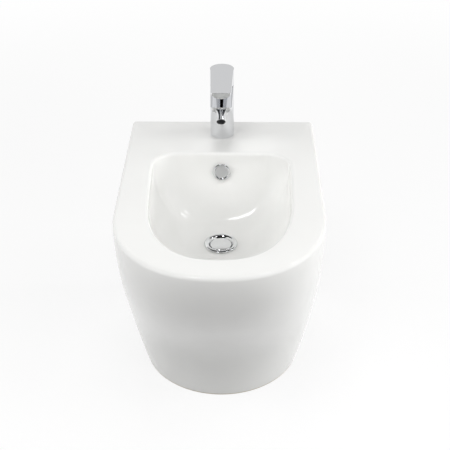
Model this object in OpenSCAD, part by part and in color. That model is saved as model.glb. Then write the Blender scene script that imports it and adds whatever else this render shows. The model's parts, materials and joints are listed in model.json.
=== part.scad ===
// Floor standing bidet that stands back to the wall, with a single lever mixer and a pop-up waste.
// Millimetres. X runs to the right, the front faces -Y, the wall is at +Y, Z runs up from the floor.
// The origin lies on the floor, under the middle of the footprint.

/* [Bowl outside] */
// Width across the rim
body_w = 360; // [350:1:376]
// Depth from the wall to the front of the rim
body_d = 530; // [520:1:560]
// Height of the rim above the floor
body_h = 400; // [392:1:440]
// Straight length of each side of the rim, from the wall
side_run = 337; // [320:1:345]
// Roundness of the front of the rim, 2 is an ellipse and more is squarer
front_power = 2.21; // [2:0.01:2.6]
// Width of the foot on the floor
foot_w = 304; // [290:1:320]
// Depth of the foot on the floor, from the wall
foot_d = 360; // [350:1:400]
// Straight length of each side of the foot, from the wall
foot_run = 212; // [190:1:225]
// Roundness of the front of the foot
foot_power = 1.98; // [1.8:0.01:2.4]
// How late the front wall starts to fall back to the foot
front_hang = 2.7; // [1.8:0.1:3.2]
// How low the side walls turn in to the foot
side_hang = 4.5; // [3:0.1:6]
// Radius of the upright corners at the wall
corner_r = 8; // [7.5:0.5:14]
// Radius of the outer edge of the rim
rim_r = 7; // [4:0.5:9]
// Radius of the top edge along the wall
wall_edge_r = 3; // [1:0.5:5]
// Thickness of the china walls
china_t = 10; // [8:0.5:12]
// Thickness of the china deck and rim
deck_t = 11; // [9:0.5:13]
// Width of the opening at the back
back_opening_w = 270; // [240:1:276]
// Height of the opening at the back
back_opening_h = 330; // [300:1:340]

/* [Basin] */
// Width of the basin opening
basin_w = 253; // [235:1:262]
// Distance from the wall to the basin opening
basin_back = 134; // [130:1:140]
// Distance from the front of the rim to the basin opening
basin_front = 54; // [46:1:65]
// Straight length of the basin sides, from the wall
basin_run = 292; // [270:1:310]
// Roundness of the front of the basin
basin_power = 2.45; // [2.1:0.05:2.8]
// How much the basin sides draw in for each millimetre forward
basin_draw = 0.022; // [0:0.002:0.04]
// Radius of the back corners of the basin
basin_corner_r = 42; // [30:1:55]
// Radius of the inner edge of the rim
basin_edge_r = 6; // [4:0.5:8]
// Depth of the waste seat below the rim
basin_depth = 134; // [126:1:146]
// Fullness of the basin walls in plan, more is steeper
basin_full = 2.2; // [1.8:0.1:2.6]

/* [Waste] */
// Distance from the wall to the waste
waste_d = 240; // [235:1:250]
// Diameter of the waste hole in the china
waste_hole_d = 46; // [45.5:0.25:48]
// Height of the china boss under the waste seat
waste_boss_h = 28; // [26:0.5:34]
// Diameter of the china boss under the waste seat
waste_boss_d = 72; // [68:1:76]
// Diameter of the waste flange
flange_d = 62; // [60:0.5:63]
// Diameter of the threaded tail
tail_d = 41.9; // [40:0.1:42.5]
// Bore of the tail
tail_bore_d = 35; // [33:0.5:35.5]
// Length of the tail below the waste seat
tail_l = 90; // [84:1:110]
// Diameter of the outlet spigot at the foot of the tail
spigot_d = 40; // [39:0.25:40.5]
// Height of the pivot rod below the waste seat
port_drop = 62; // [60:0.5:66]
// Diameter of the plug
plug_d = 40; // [38:0.5:40.5]
// Angle of the pivot rod above level with the waste closed
pivot_tilt = 6.5; // [5:0.5:7]
// Distance from the waste to the pivot ball
pivot_arm = 28; // [27:0.5:30]

/* [Overflow] */
// Depth of the overflow below the rim
overflow_drop = 37; // [36:1:42]
// Diameter of the overflow hole
overflow_hole_d = 22; // [20:0.5:24]
// Diameter of the overflow cap
overflow_cap_d = 33; // [31:0.5:36]
// Depth of the overflow channel behind the basin
channel_t = 12; // [10:0.5:13]
// Width of the overflow channel
channel_w = 32; // [26:1:36]
// China around the overflow channel
channel_wall = 6; // [5:0.5:7]

/* [Mixer] */
// Distance from the wall to the mixer
tap_d = 53; // [52:0.5:56]
// Diameter of the tap hole in the china
tap_hole_d = 35; // [34:0.5:36]
// Diameter of the mixer column
column_d = 46; // [45.5:0.25:48]
// Height of the column and of the top of the spout
column_h = 104; // [102:1:116]
// Reach of the spout from the column centre
spout_reach = 100; // [98:1:110]
// Width of the spout nose
nose_w = 39; // [37:0.5:42]
// Thickness of the spout nose
nose_t = 12; // [11.5:0.25:13]
// Thickness of the spout where it leaves the column
root_t = 38; // [34:1:42]
// Radius of the rounded underside of the spout
belly_r = 32; // [28:1:36]
// Diameter of the cartridge bore
cartridge_d = 36; // [35.5:0.25:36.5]
// Depth of the cartridge bore from the top of the column
cartridge_l = 52; // [50:0.5:54]

/* [Lever] */
// Gap between the lever and the column
lever_gap = 1; // [0.6:0.1:1.5]
// Height of the flat top of the lever above the column
lever_rise = 32.5; // [31:0.5:36]
// Reach of the lever from the column centre
lever_reach = 108; // [104:1:114]
// Width of the lever at its tip
lever_tip_w = 36.5; // [34:0.5:40]
// Thickness of the lever at its tip
lever_tip_t = 12; // [10:0.5:14]
// Diameter of the dome under the lever
dome_d = 36; // [35:0.25:36.5]
// How far the lever lifts
lever_lift = 22; // [18:1:24]

/* [Nozzle] */
// Distance from the column centre to the nozzle ball
ball_fwd = 84; // [82:0.5:86]
// Depth of the nozzle ball centre below the top of the spout
ball_drop = 11; // [10.9:0.1:11.4]
// Diameter of the nozzle ball
ball_d = 17; // [16:0.25:17.25]
// Diameter of the nozzle barrel
barrel_d = 14.5; // [13:0.25:15]
// Length from the ball centre to the nozzle outlet
barrel_l = 27; // [24:0.5:30]
// Diameter of the collar round the outlet
outlet_d = 16.5; // [15.5:0.25:17]
// Angle of the nozzle below level
nozzle_dip = 30; // [25:1:40]

/* [Lift rod] */
// Diameter of the lift rod
rod_d = 5; // [4:0.25:5.5]
// Distance behind the column centre where the rod meets the deck
rod_back = 13; // [12.5:0.25:13.5]
// Lean of the lift rod to the wall
rod_lean = 13; // [12:0.5:14]
// Length of the lift rod above the deck
rod_up = 100; // [97:1:106]
// Length of the lift rod below the deck
rod_down = 105; // [100:1:112]
// Diameter of the knob
knob_d = 11; // [9:0.5:12]

/* [Floor fixings] */
// Distance from the wall to the side fixings
fix_d = 130; // [110:1:150]
// Height of the side fixings above the floor
fix_h = 36; // [34:1:40]
// Diameter of the side fixing holes in the china
fix_hole_d = 14.5; // [13.5:0.25:16]
// Thickness of the floor brackets
bracket_t = 4; // [3:0.25:5]
// Length of the floor brackets along the wall direction
bracket_l = 60; // [54:1:70]

/* [Hidden] */

// Smoothness of round pieces
$fn = 64;
// Gap of a running fit, on the radius
run_gap = 0.05;
// Gap between pieces that move past each other
free_gap = 0.3;
// Gap round a piece that is pushed into a hole
slip_gap = 0.2;
// Small length by which a cut passes a face
cut = 1;
// Plane of the wall
wall_y = body_d / 2;
// Height of the waste seat
seat_z = body_h - basin_depth;

// ---- The plan curves of the china: half the curve runs from the back centre to the front centre ----

// Points along half of the back edge, a corner, a side and the front
back_n = 3;
corner_n = 4;
side_n = 5;
front_n = 18;
half_n = back_n + corner_n + side_n + front_n + 1;
ring_n = 2 * half_n - 2;

// Point i of the half curve as [x, distance from the wall]
function half_pt(i, a, back, front, run, power, r) =
    i < back_n ? [(a - r) * i / back_n, back]
    : i <= back_n + corner_n
        ? let (t = 90 * (i - back_n) / corner_n) [a - r + r * sin(t), back + r - r * cos(t)]
    : i < back_n + corner_n + side_n
        ? [a, back + r + (run - back - r) * (i - back_n - corner_n) / side_n]
    : let (t = 90 * (i - back_n - corner_n - side_n) / front_n)
        [a * pow(max(0, cos(t)), 2 / power), run + (front - run) * pow(sin(t), 2 / power)];

// The whole ring as [x, distance from the wall], first half to the right and second half to the left
function ring(a, back, front, run, power, r) =
    [for (i = [0 : ring_n - 1])
        let (right = i < half_n, p = half_pt(right ? i : ring_n - i, a, back, front, run, power, r))
        [right ? p[0] : -p[0], p[1]]];

// A ring at height z in the part's own frame
function lift(points, z) = [for (p = points) [p[0], wall_y - p[1], z]];

// How far the front has come forward from the foot at height z, from 0 to 1
function forward(z) = pow(1 - pow(1 - z / body_h, 2), front_hang);

// Half width of the outside at height z
function half_w(z) = foot_w / 2 + (body_w - foot_w) / 2 * (1 - pow(1 - z / body_h, side_hang));

// The outside at height z, drawn in by off, and by back at the wall
function outside(z, off, back) =
    let (g = forward(z))
    ring(half_w(z) - off, back, foot_d + (body_d - foot_d) * g - off,
        foot_run + (side_run - foot_run) * g, foot_power + (front_power - foot_power) * z / body_h,
        max(corner_r - off, 1));

// The basin opening, grown by off
function opening(off) =
    [for (p = ring(basin_w / 2 + off, basin_back - off, body_d - basin_front + off, basin_run, basin_power,
            basin_corner_r + off))
        [p[0] * (1 - basin_draw * max(0, p[1] - basin_back - basin_corner_r) / (basin_w / 2)), p[1]]];

// Radius of the flat waste seat, and of the circle that the basin turns into
seat_r = flange_d / 2 + 2;
round_r = 150;
// The basin is a quarter of a superellipse from its edge at 0 to its seat at last_turn
seat_share = seat_r / round_r;
last_turn = acos(pow(seat_share, basin_full / 2));
// Where the basin starts to turn round
round_from = 0.8;
function share(t) = pow(cos(t), 2 / basin_full);
function roundness(m) =
    let (w = min(1, max(0, (round_from - m) / (round_from - seat_share)))) w * w * (3 - 2 * w);
function basin_z(t) =
    body_h - basin_edge_r - (basin_depth - basin_edge_r) * sin(t) / sin(last_turn);

// The basin at turn t, moved out of the basin by off along its wall
function basin_ring(t, off) =
    let (m = share(t), w = roundness(m))
    [for (p = opening(0))
        let (dx = p[0], dy = p[1] - waste_d, len = norm([dx, dy]), k = (1 - w) + w * round_r / len,
            reach = m + off * cos(t) / (k * len))
        [dx * k * reach, waste_d + dy * k * reach]];

// Steps of the lofts, and the step of the basin where its floor section starts
wall_steps = 12;
edge_steps = 4;
basin_steps = 11;
floor_from = 6;
// Radius of the loft's own hole at the waste, well inside the drilled one
core_r = 14;
function core(z) =
    [for (p = opening(0))
        let (len = norm([p[0], p[1] - waste_d]))
        [p[0] * core_r / len, wall_y - waste_d - (p[1] - waste_d) * core_r / len, z]];

// The china is one casting. It is described as three closed surfaces that meet at the underside of
// the deck: the deck with the rim, the wall of the pedestal, and the basin
inner_top = body_h - deck_t;
// Turn of the basin at the underside of the deck
top_turn = asin((deck_t - basin_edge_r) / (basin_depth - basin_edge_r) * sin(last_turn));
function basin_turn(i) = top_turn + (last_turn - top_turn) * i / basin_steps;
rim_rings = concat(
    [for (z = [inner_top, body_h - rim_r]) lift(outside(z, 0, 0), z)],
    [for (i = [1 : edge_steps])
        let (t = 90 * i / edge_steps, z = body_h - rim_r + rim_r * sin(t))
        lift(outside(z, rim_r * (1 - cos(t)), wall_edge_r * (1 - cos(t))), z)],
    [for (i = [0 : edge_steps])
        let (t = 90 * i / edge_steps)
        lift(opening(basin_edge_r * (1 - sin(t))), body_h - basin_edge_r * (1 - cos(t)))],
    [lift(basin_ring(top_turn, 0), inner_top)]);
wall_rings = concat(
    [for (i = [0 : wall_steps]) let (z = inner_top * i / wall_steps) lift(outside(z, 0, 0), z)],
    [for (i = [wall_steps : -1 : 0])
        let (z = inner_top * i / wall_steps) lift(outside(z, china_t, china_t), z)]);
function basin_inside(from, to) =
    [for (i = [from : to]) let (t = basin_turn(i)) lift(basin_ring(t, 0), basin_z(t))];
function basin_outside(from, to) =
    [for (i = [to : -1 : from])
        let (t = basin_turn(i))
        lift(basin_ring(t, china_t), i == 0 ? inner_top : basin_z(t) - china_t * sin(t))];
upper_rings = concat(basin_inside(0, floor_from), basin_outside(0, floor_from));
floor_rings = concat(basin_inside(floor_from, basin_steps), [core(seat_z), core(seat_z - china_t)],
    basin_outside(floor_from, basin_steps));
shell_rings = concat(basin_inside(0, basin_steps), basin_outside(0, basin_steps));

// Columns of the rings where the front curve starts and ends, at the front centre, and past the corner
front_from = back_n + corner_n + side_n;
front_to = ring_n - front_from;
front_mid = half_n - 1;
corner_to = back_n + corner_n;

// A closed tube of rings, whose last ring joins the first. Where it closes, its triangles turn the
// other way, so that they lie on those of the section that it meets there
module ring_loft(rings) {
    n = len(rings[0]);
    count = len(rings);
    points = [for (r = rings) for (p = r) p];
    faces = [for (j = [0 : count - 1]) for (i = [0 : n - 1])
        let (a = j * n + i, b = j * n + (i + 1) % n, k = (j + 1) % count,
            c = k * n + (i + 1) % n, d = k * n + i)
        each j < count - 1 ? [[a, b, c], [a, c, d]] : [[a, b, d], [b, c, d]]];
    polyhedron(points = points, faces = faces, convexity = 12);
}

// A stretch of such a tube between two columns, with its ends closed
module section_loft(rings, from, to) {
    n = to - from + 1;
    count = len(rings);
    points = [for (r = rings) for (i = [from : to]) r[(i + ring_n) % ring_n]];
    faces = concat(
        [for (j = [0 : count - 1]) for (i = [0 : n - 2])
            let (a = j * n + i, k = (j + 1) % count, c = k * n + i + 1)
            each [[a, a + 1, c], [a, c, c - 1]]],
        [for (j = [0 : count / 2 - 2]) for (i = [0, n - 1])
            let (a = j * n + i, b = a + n, d = (count - 1 - j) * n + i, c = d - n)
            each i == 0 ? [[a, b, c], [a, c, d]] : [[a, c, b], [a, d, c]]]);
    polyhedron(points = points, faces = faces, convexity = 12);
}

// Point of the basin's back wall at turn t, as [distance from the wall, height], moved out by off
function back_pt(t, off) =
    let (m = share(t), w = roundness(m), len = waste_d - basin_back)
    [waste_d - m * ((1 - w) * len + w * round_r) - off * cos(t), basin_z(t) - off * sin(t)];

// The overflow channel runs down behind the basin from its hole to the waste
overflow_turn = asin((overflow_drop - basin_edge_r) / (basin_depth - basin_edge_r) * sin(last_turn));
channel_from = 7;
channel_n = 10;
// Share of the basin's thickness at which the duct's own outline starts
duct_near = 0.6;
function channel_turns(from) =
    [for (i = [0 : channel_n]) from + (last_turn - from) * i / channel_n];
function channel_side(from, near, far, end_d, top, bottom) =
    concat([for (t = channel_turns(from)) back_pt(t, near)],
        [[end_d, top], [end_d, bottom]],
        [for (i = [channel_n : -1 : 0]) back_pt(channel_turns(from)[i], far)]);

// Extrudes a side view, drawn as [distance from the wall, height], to a width across the part
module side_view(points, width) {
    translate([-width / 2, wall_y, 0])
        rotate([90, 0, 90])
            linear_extrude(height = width)
                polygon([for (p = points) [-p[0], p[1]]]);
}

// Places its children at the waste, with z = 0 on the china seat
module at_waste() {
    translate([0, wall_y - waste_d, seat_z]) children();
}

// Places its children at the tap hole, with z = 0 on the deck
module at_tap() {
    translate([0, wall_y - tap_d, body_h]) children();
}

// A cylinder along X, centred on the origin
module across(d, w) {
    rotate([0, 90, 0]) cylinder(h = w, d = d, center = true);
}

// The wall of the basin at the overflow leans back by this much
overflow_lean = atan(
    (back_pt(overflow_turn + 1, 0)[0] - back_pt(overflow_turn - 1, 0)[0])
    / (back_pt(overflow_turn - 1, 0)[1] - back_pt(overflow_turn + 1, 0)[1]));

// Places its children at the overflow, with z = 0 on the basin wall and +Z into the basin
module at_overflow() {
    translate([0, wall_y - back_pt(overflow_turn, 0)[0], back_pt(overflow_turn, 0)[1]])
        rotate([90 - overflow_lean, 0, 0]) children();
}

// The deck section starts at the back edge of the basin's opening
deck_y = wall_y - basin_back;

// The half of space behind the plane at y, or before it
module behind(y) {
    translate([-body_w, y, 0]) cube([2 * body_w, body_d, body_h + cut]);
}

module before(y) {
    translate([-body_w, y - body_d, 0]) cube([2 * body_w, body_d, body_h + cut]);
}

module waste_boss() {
    translate([0, wall_y - waste_d, seat_z - waste_boss_h])
        cylinder(h = waste_boss_h - china_t / 2, d = waste_boss_d);
}

module basin_holes() {
    // Overflow channel, which ends in the waste hole
    side_view(channel_side(channel_from + 5, china_t, china_t + channel_t,
        waste_d - waste_hole_d / 2 + 4, seat_z - china_t - 1,
        seat_z - china_t - channel_t), channel_w);
    // Overflow hole
    at_overflow()
        translate([0, 0, -china_t - channel_t / 2])
            cylinder(h = china_t + channel_t, d = overflow_hole_d);
    // Waste hole
    translate([0, wall_y - waste_d, seat_z - waste_boss_h - cut])
        cylinder(h = waste_boss_h + 2 * cut, d = waste_hole_d);
}

module bowl_deck() {
    color("white")
    difference() {
        intersection() {
            ring_loft(rim_rings);
            behind(deck_y);
        }
        // Tap hole
        translate([0, wall_y - tap_d, body_h - deck_t - cut])
            cylinder(h = deck_t + 2 * cut, d = tap_hole_d);
    }
}

module bowl_rim() {
    color("white")
    intersection() {
        ring_loft(rim_rings);
        before(deck_y);
    }
}

// One side of the wall, without the china above the opening to the wall
module wall_side(from, to) {
    color("white")
    difference() {
        section_loft(wall_rings, from, to);
        translate([-back_opening_w / 2, wall_y - china_t - cut, -cut])
            cube([back_opening_w, china_t + 2 * cut, body_h]);
        // Side fixing hole
        translate([0, wall_y - fix_d, fix_h])
            across(fix_hole_d, body_w);
    }
}

module wall_left() {
    wall_side(front_to, ring_n);
}

module wall_right() {
    wall_side(0, front_from);
}

module wall_front_left() {
    color("white") section_loft(wall_rings, front_mid, front_to);
}

module wall_front_right() {
    color("white") section_loft(wall_rings, front_from, front_mid);
}

module wall_back() {
    color("white")
    translate([-back_opening_w / 2, wall_y - china_t, back_opening_h])
        cube([back_opening_w, china_t, inner_top - back_opening_h]);
}

module basin_side(from, to) {
    color("white")
    difference() {
        section_loft(upper_rings, from, to);
        basin_holes();
    }
}

module basin_back_left() {
    basin_side(front_to, ring_n);
}

module basin_back_right() {
    basin_side(0, front_from);
}

module basin_front_left() {
    basin_side(front_mid, front_to);
}

module basin_front_right() {
    basin_side(front_from, front_mid);
}

module basin_floor() {
    color("white")
    difference() {
        union() {
            ring_loft(floor_rings);
            waste_boss();
        }
        basin_holes();
    }
}

module overflow_duct() {
    color("white")
    difference() {
        side_view(channel_side(channel_from, duct_near * china_t, china_t + channel_t + channel_wall,
            waste_d - waste_boss_d / 2 + china_t, seat_z - china_t,
            seat_z - waste_boss_h), channel_w + 2 * channel_wall);
        section_loft(shell_rings, -corner_to, corner_to);
        waste_boss();
        basin_holes();
    }
}

// ---- Floor fixings ----

// Inner face of the china at the fixing height, and the outer face of the upright leg
fix_in = half_w(fix_h) - china_t;
leg_gap = 16;
leg_x = fix_in - leg_gap;
leg_over = 22;
leg_h = fix_h + leg_over;
floor_leg_w = 44;
floor_hole_d = 8.5;
rib_share = 0.6;
weld_nut_d = 12;
weld_nut_t = 6;
side_screw_d = 6;
side_screw_end = 12;
side_head_d = 11;
side_head_t = 3;
hex_d = 5;
hex_deep = 2;
sleeve_d = fix_hole_d - 2 * slip_gap;

module bracket() {
    // Drawn on the right-hand side
    translate([0, wall_y - fix_d, 0])
    difference() {
        union() {
            translate([leg_x - floor_leg_w, -bracket_l / 2, 0])
                cube([floor_leg_w, bracket_l, bracket_t]);
            translate([leg_x - bracket_t, -bracket_l / 2, 0])
                cube([bracket_t, bracket_l, leg_h]);
            // Rib in the angle
            translate([leg_x - bracket_t, bracket_l / 2 - bracket_t, bracket_t])
                rotate([90, 0, 180])
                    linear_extrude(height = bracket_t)
                        polygon([[0, -cut / 2], [floor_leg_w * rib_share, -cut / 2],
                            [0, leg_h * rib_share]]);
            // Nut pressed into the upright leg
            translate([leg_x - bracket_t - weld_nut_t / 2, 0, fix_h])
                across(weld_nut_d, weld_nut_t + cut);
        }
        // Floor screw holes
        for (s = [-1, 1])
            translate([leg_x - floor_leg_w / 2, s * bracket_l / 4, -cut])
                cylinder(h = bracket_t + 2 * cut, d = floor_hole_d);
        // Side screw hole
        translate([leg_x - bracket_t, 0, fix_h])
            across(side_screw_d + 2 * run_gap, 2 * floor_leg_w);
    }
}

module bracket_right() {
    color("gainsboro") bracket();
}

module bracket_left() {
    color("gainsboro") mirror([1, 0, 0]) bracket();
}

// One pair, mirrored to both sides
module both_sides() {
    children();
    mirror([1, 0, 0]) children();
}

// The screw head sits in the china, this far in from its outer face
head_in = 4.5;
head_x = half_w(fix_h) - head_in;

module side_screws() {
    color("silver")
    both_sides()
        translate([0, wall_y - fix_d, fix_h])
            rotate([0, 90, 0]) {
                translate([0, 0, leg_x - bracket_t - side_screw_end])
                    cylinder(h = head_x - leg_x + bracket_t + side_screw_end, d = side_screw_d);
                difference() {
                    translate([0, 0, head_x - side_head_t])
                        cylinder(h = side_head_t, d = side_head_d);
                    translate([0, 0, head_x - hex_deep])
                        cylinder(h = hex_deep + cut, d = hex_d);
                }
            }
}

module side_sleeves() {
    color("white")
    both_sides()
        translate([0, wall_y - fix_d, fix_h])
            rotate([0, 90, 0])
                difference() {
                    translate([0, 0, leg_x])
                        cylinder(h = head_x - side_head_t - leg_x, d = sleeve_d);
                    translate([0, 0, leg_x - cut])
                        cylinder(h = body_w, d = side_screw_d + 2 * run_gap);
                }
}

side_cap_t = 2;

module side_caps() {
    color("white")
    both_sides()
        translate([0, wall_y - fix_d, fix_h])
            rotate([0, 90, 0])
                difference() {
                    union() {
                        translate([0, 0, head_x])
                            cylinder(h = side_cap_t, d = side_head_d - side_cap_t);
                        translate([0, 0, head_x + side_cap_t])
                            cylinder(h = side_cap_t, d = sleeve_d);
                        translate([0, 0, head_x + 2 * side_cap_t])
                            cylinder(h = side_cap_t / 2, d1 = sleeve_d, d2 = sleeve_d - side_cap_t);
                    }
                    translate([0, 0, head_x - cut])
                        cylinder(h = side_cap_t + cut, d = hex_d);
                }
}

// ---- Mixer ----

column_r = column_d / 2;
column_taper = 0.5;
// The column stands just clear of the deck on its gasket
base_clear = 0.4;
gasket_t = 1.6;
gasket_w = 3;
gasket_r = column_r - 1.5;
// Hollow under the column for the supplies
base_hollow_d = 2 * (gasket_r - gasket_w) - 1;
base_hollow_h = 12;
seat_h = column_h - cartridge_l;
inlet_x = 11;
inlet_y = 1.5;
inlet_d = 9;
inlet_l = 12;
port_x = 8.5;
port_d = 6;
stud_y = -10;
stud_d = 8;
// Nozzle ball centre
ball_z = column_h - ball_drop;
ball_y = -ball_fwd;
slot_w = ball_d + 2 * free_gap;
slot_r = ball_d / 2 + free_gap;
roof_t = 2;
pin_d = 4;
channel_d = 8;
seal_d = 13;
seal_t = 3;
nose_corner_r = 4;
spout_tilt = atan((root_t - nose_t) / spout_reach);
water_drop = 13;
water_tilt = atan(water_drop / (ball_fwd - cartridge_d / 2));

// Plan of a spout or lever: from the width at the column to the width of the tip, with round corners
function tip_plan(root_w, tip_w, reach, r) =
    concat([[-root_w / 2, 0]],
        [for (t = [0 : 15 : 90]) [-tip_w / 2 + r - r * cos(t), -reach + r - r * sin(t)]],
        [for (t = [0 : 15 : 90]) [tip_w / 2 - r + r * sin(t), -reach + r - r * cos(t)]],
        [[root_w / 2, 0]]);

// A long cylinder whose lowest line runs from height z0 at the column up by tilt towards the front
module belly(r, z0, tilt, length) {
    translate([0, 0, z0])
        rotate([-tilt, 0, 0])
            translate([0, 0, r])
                rotate([90, 0, 0])
                    translate([0, 0, -r])
                        cylinder(h = length + r, r = r, $fn = 96);
}

module rod_line() {
    translate([0, rod_back, 0])
        rotate([-rod_lean, 0, 0]) children();
}

module mixer_body() {
    color("silver")
    at_tap()
    difference() {
        union() {
            translate([0, 0, base_clear])
                cylinder(h = column_h - base_clear, r1 = column_r, r2 = column_r - column_taper,
                    $fn = 96);
            intersection() {
                linear_extrude(height = column_h)
                    polygon(tip_plan(column_d - 3, nose_w, spout_reach, nose_corner_r));
                belly(belly_r, column_h - root_t, spout_tilt, spout_reach * 1.2);
            }
        }
        // Hollow and gasket groove in the base
        translate([0, 0, -cut])
            cylinder(h = base_hollow_h + cut, d = base_hollow_d);
        translate([0, 0, -cut])
            difference() {
                cylinder(h = gasket_t + cut, r = gasket_r);
                cylinder(h = gasket_t + cut, r = gasket_r - gasket_w);
            }
        // Cartridge bore and the ports under it
        translate([0, 0, seat_h])
            cylinder(h = cartridge_l + cut, d = cartridge_d);
        for (s = [-1, 1]) {
            translate([s * inlet_x, inlet_y, base_hollow_h - cut])
                cylinder(h = inlet_l + cut, d = inlet_d);
            translate([s * port_x, inlet_y, base_hollow_h + inlet_l - cut / 4])
                cylinder(h = seat_h - base_hollow_h - inlet_l + cut, d = port_d);
        }
        // Tapped hole for the fixing stud
        translate([0, stud_y, base_hollow_h - cut])
            cylinder(h = inlet_l + cut, d = stud_d + 2 * run_gap);
        // Lift rod hole
        rod_line()
            translate([0, 0, -10])
                cylinder(h = column_h, d = rod_d + 2 * run_gap);
        // Water way to the nozzle
        translate([0, ball_y + slot_r, ball_z])
            rotate([-90 - water_tilt, 0, 0])
                cylinder(h = (ball_fwd - slot_r - cartridge_d / 2 + 4) / cos(water_tilt), d = channel_d);
        // Nozzle slot, open to the front and below, with a round back
        translate([0, ball_y, ball_z]) {
            across(2 * slot_r, slot_w);
            translate([-slot_w / 2, -spout_reach, -column_h])
                cube([slot_w, spout_reach, column_h + ball_drop - roof_t]);
            translate([-slot_w / 2, -spout_reach, -column_h])
                cube([slot_w, spout_reach + slot_r, column_h]);
            // Seat of the nozzle seal
            rotate([-90, 0, 0])
                cylinder(h = slot_r + seal_t, d = seal_d);
            // Pin hole through both cheeks
            across(pin_d + 2 * run_gap, 2 * nose_w);
        }
    }
}

module base_gasket() {
    color("black")
    at_tap()
    difference() {
        cylinder(h = gasket_t, r = gasket_r);
        translate([0, 0, -cut])
            cylinder(h = gasket_t + 2 * cut, r = gasket_r - gasket_w);
    }
}

// Fixing under the deck
washer_d = 47;
rubber_t = 3;
steel_t = 2;
nut_af = 13;
nut_t = 11;
stud_down = 52;
horse_w = 32;
horse_from = -3.5;

module fixing_stud() {
    color("gold")
    at_tap()
    translate([0, stud_y, -stud_down])
        cylinder(h = stud_down + base_hollow_h + inlet_l, d = stud_d);
}

// A round washer open to the wall side, with a hole for the stud
module horseshoe(d, t) {
    difference() {
        cylinder(h = t, d = d);
        translate([-horse_w / 2, horse_from, -cut])
            cube([horse_w, d, t + 2 * cut]);
        translate([0, stud_y, -cut])
            cylinder(h = t + 2 * cut, d = stud_d + 2 * slip_gap);
    }
}

module rubber_washer() {
    color("black")
    at_tap() translate([0, 0, -deck_t - rubber_t]) horseshoe(washer_d, rubber_t);
}

module metal_washer() {
    color("silver")
    at_tap() translate([0, 0, -deck_t - rubber_t - steel_t]) horseshoe(washer_d - 1, steel_t);
}

module fixing_nut() {
    color("gold")
    at_tap()
    translate([0, stud_y, -deck_t - rubber_t - steel_t - nut_t])
        difference() {
            cylinder(h = nut_t, d = nut_af / cos(30), $fn = 6);
            translate([0, 0, -cut]) cylinder(h = nut_t + 2 * cut, d = stud_d + 2 * run_gap);
        }
}

// ---- Cartridge, from its seat up ----

house_d = cartridge_d - 2 * slip_gap;
house_base = 3;
disc_d = 29;
disc_t = 5;
moving_d = 26;
moving_t = 4.5;
neck_d = 28;
nut_ring_t = 9;
shaft_d = 23;
house_top = column_h - 5;
neck_from = house_top - nut_ring_t - 1;
carrier_flange_d = cartridge_d - 1.2;
pivot_z = column_h + 2;
stem_d = 8;
stem_ball_d = 11;
cheek_t = 3.5;
stem_pin_d = 3;

module cartridge_housing() {
    color("whitesmoke")
    at_tap()
    difference() {
        union() {
            translate([0, 0, seat_h]) cylinder(h = neck_from - seat_h, d = house_d);
            translate([0, 0, neck_from - cut]) cylinder(h = house_top - neck_from + cut, d = neck_d);
        }
        // Disc chamber
        translate([0, 0, seat_h + house_base])
            cylinder(h = disc_t + moving_t + 2, d = disc_d + 2 * slip_gap);
        // Bearing of the carrier
        translate([0, 0, seat_h])
            translate([0, 0, house_base])
                cylinder(h = cartridge_l, d = shaft_d + 2 * run_gap);
        // Ports through the base
        for (s = [-1, 1])
            translate([s * port_x, inlet_y, seat_h - cut])
                cylinder(h = house_base + 2 * cut, d = port_d);
        // Water groove from the disc chamber up to the water way
        translate([-port_d / 2, -house_d / 2 - cut, seat_h + house_base + 2])
            cube([port_d, house_d / 2 - disc_d / 2 + cut + 1,
                ball_z - water_drop + channel_d / 2 - seat_h - house_base - 2]);
    }
}

module fixed_disc() {
    color("white")
    at_tap()
    translate([0, 0, seat_h + house_base])
        difference() {
            cylinder(h = disc_t, d = disc_d);
            for (s = [-1, 1])
                translate([s * port_x, inlet_y, -cut])
                    cylinder(h = disc_t + 2 * cut, d = port_d);
            translate([0, -port_x, -cut])
                cylinder(h = disc_t + 2 * cut, d = port_d + 1);
        }
}

moving_z = seat_h + house_base + disc_t + free_gap;

module moving_disc() {
    color("dimgray")
    at_tap()
    translate([0, 0, moving_z])
        difference() {
            cylinder(h = moving_t, d = moving_d);
            // Mixing hollow in the lower face
            translate([0, -1, -cut])
                cylinder(h = 2.5 + cut, d = 15);
        }
}

module cartridge_nut() {
    color("gold")
    at_tap()
    translate([0, 0, neck_from])
        difference() {
            cylinder(h = nut_ring_t, d = house_d);
            translate([0, 0, -cut]) cylinder(h = nut_ring_t + 2 * cut, d = neck_d + 2 * slip_gap);
            // Spanner slots
            for (t = [0 : 60 : 300])
                rotate([0, 0, t])
                    translate([house_d / 2 - 1.5, -2, nut_ring_t - 3])
                        cube([4, 4, 3 + cut]);
        }
}

module cartridge_carrier() {
    color("whitesmoke")
    at_tap()
    difference() {
        union() {
            translate([0, 0, moving_z + moving_t])
                cylinder(h = column_h - 3 - moving_z - moving_t, d = shaft_d);
            translate([0, 0, house_top + free_gap])
                cylinder(h = column_h + 0.5 - house_top - free_gap, d = carrier_flange_d);
            // Cheeks that hold the stem pin
            for (s = [-1, 1])
                translate([s * (stem_ball_d / 2 + free_gap + cheek_t / 2) - cheek_t / 2, -5, column_h - 1])
                    cube([cheek_t, 10, pivot_z - column_h + 5]);
        }
        // Cup of the stem ball
        translate([0, 0, pivot_z])
            across(stem_ball_d + 2 * free_gap, stem_ball_d + 2 * free_gap);
        translate([0, 0, pivot_z])
            across(stem_pin_d, cartridge_d);
        translate([-stem_ball_d / 2 - free_gap, -stem_ball_d / 2 - free_gap, pivot_z])
            cube([stem_ball_d + 2 * free_gap, stem_ball_d + 2 * free_gap, 20]);
    }
}

dome_t = 1.8;
dome_from = column_h + 0.5;

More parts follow.
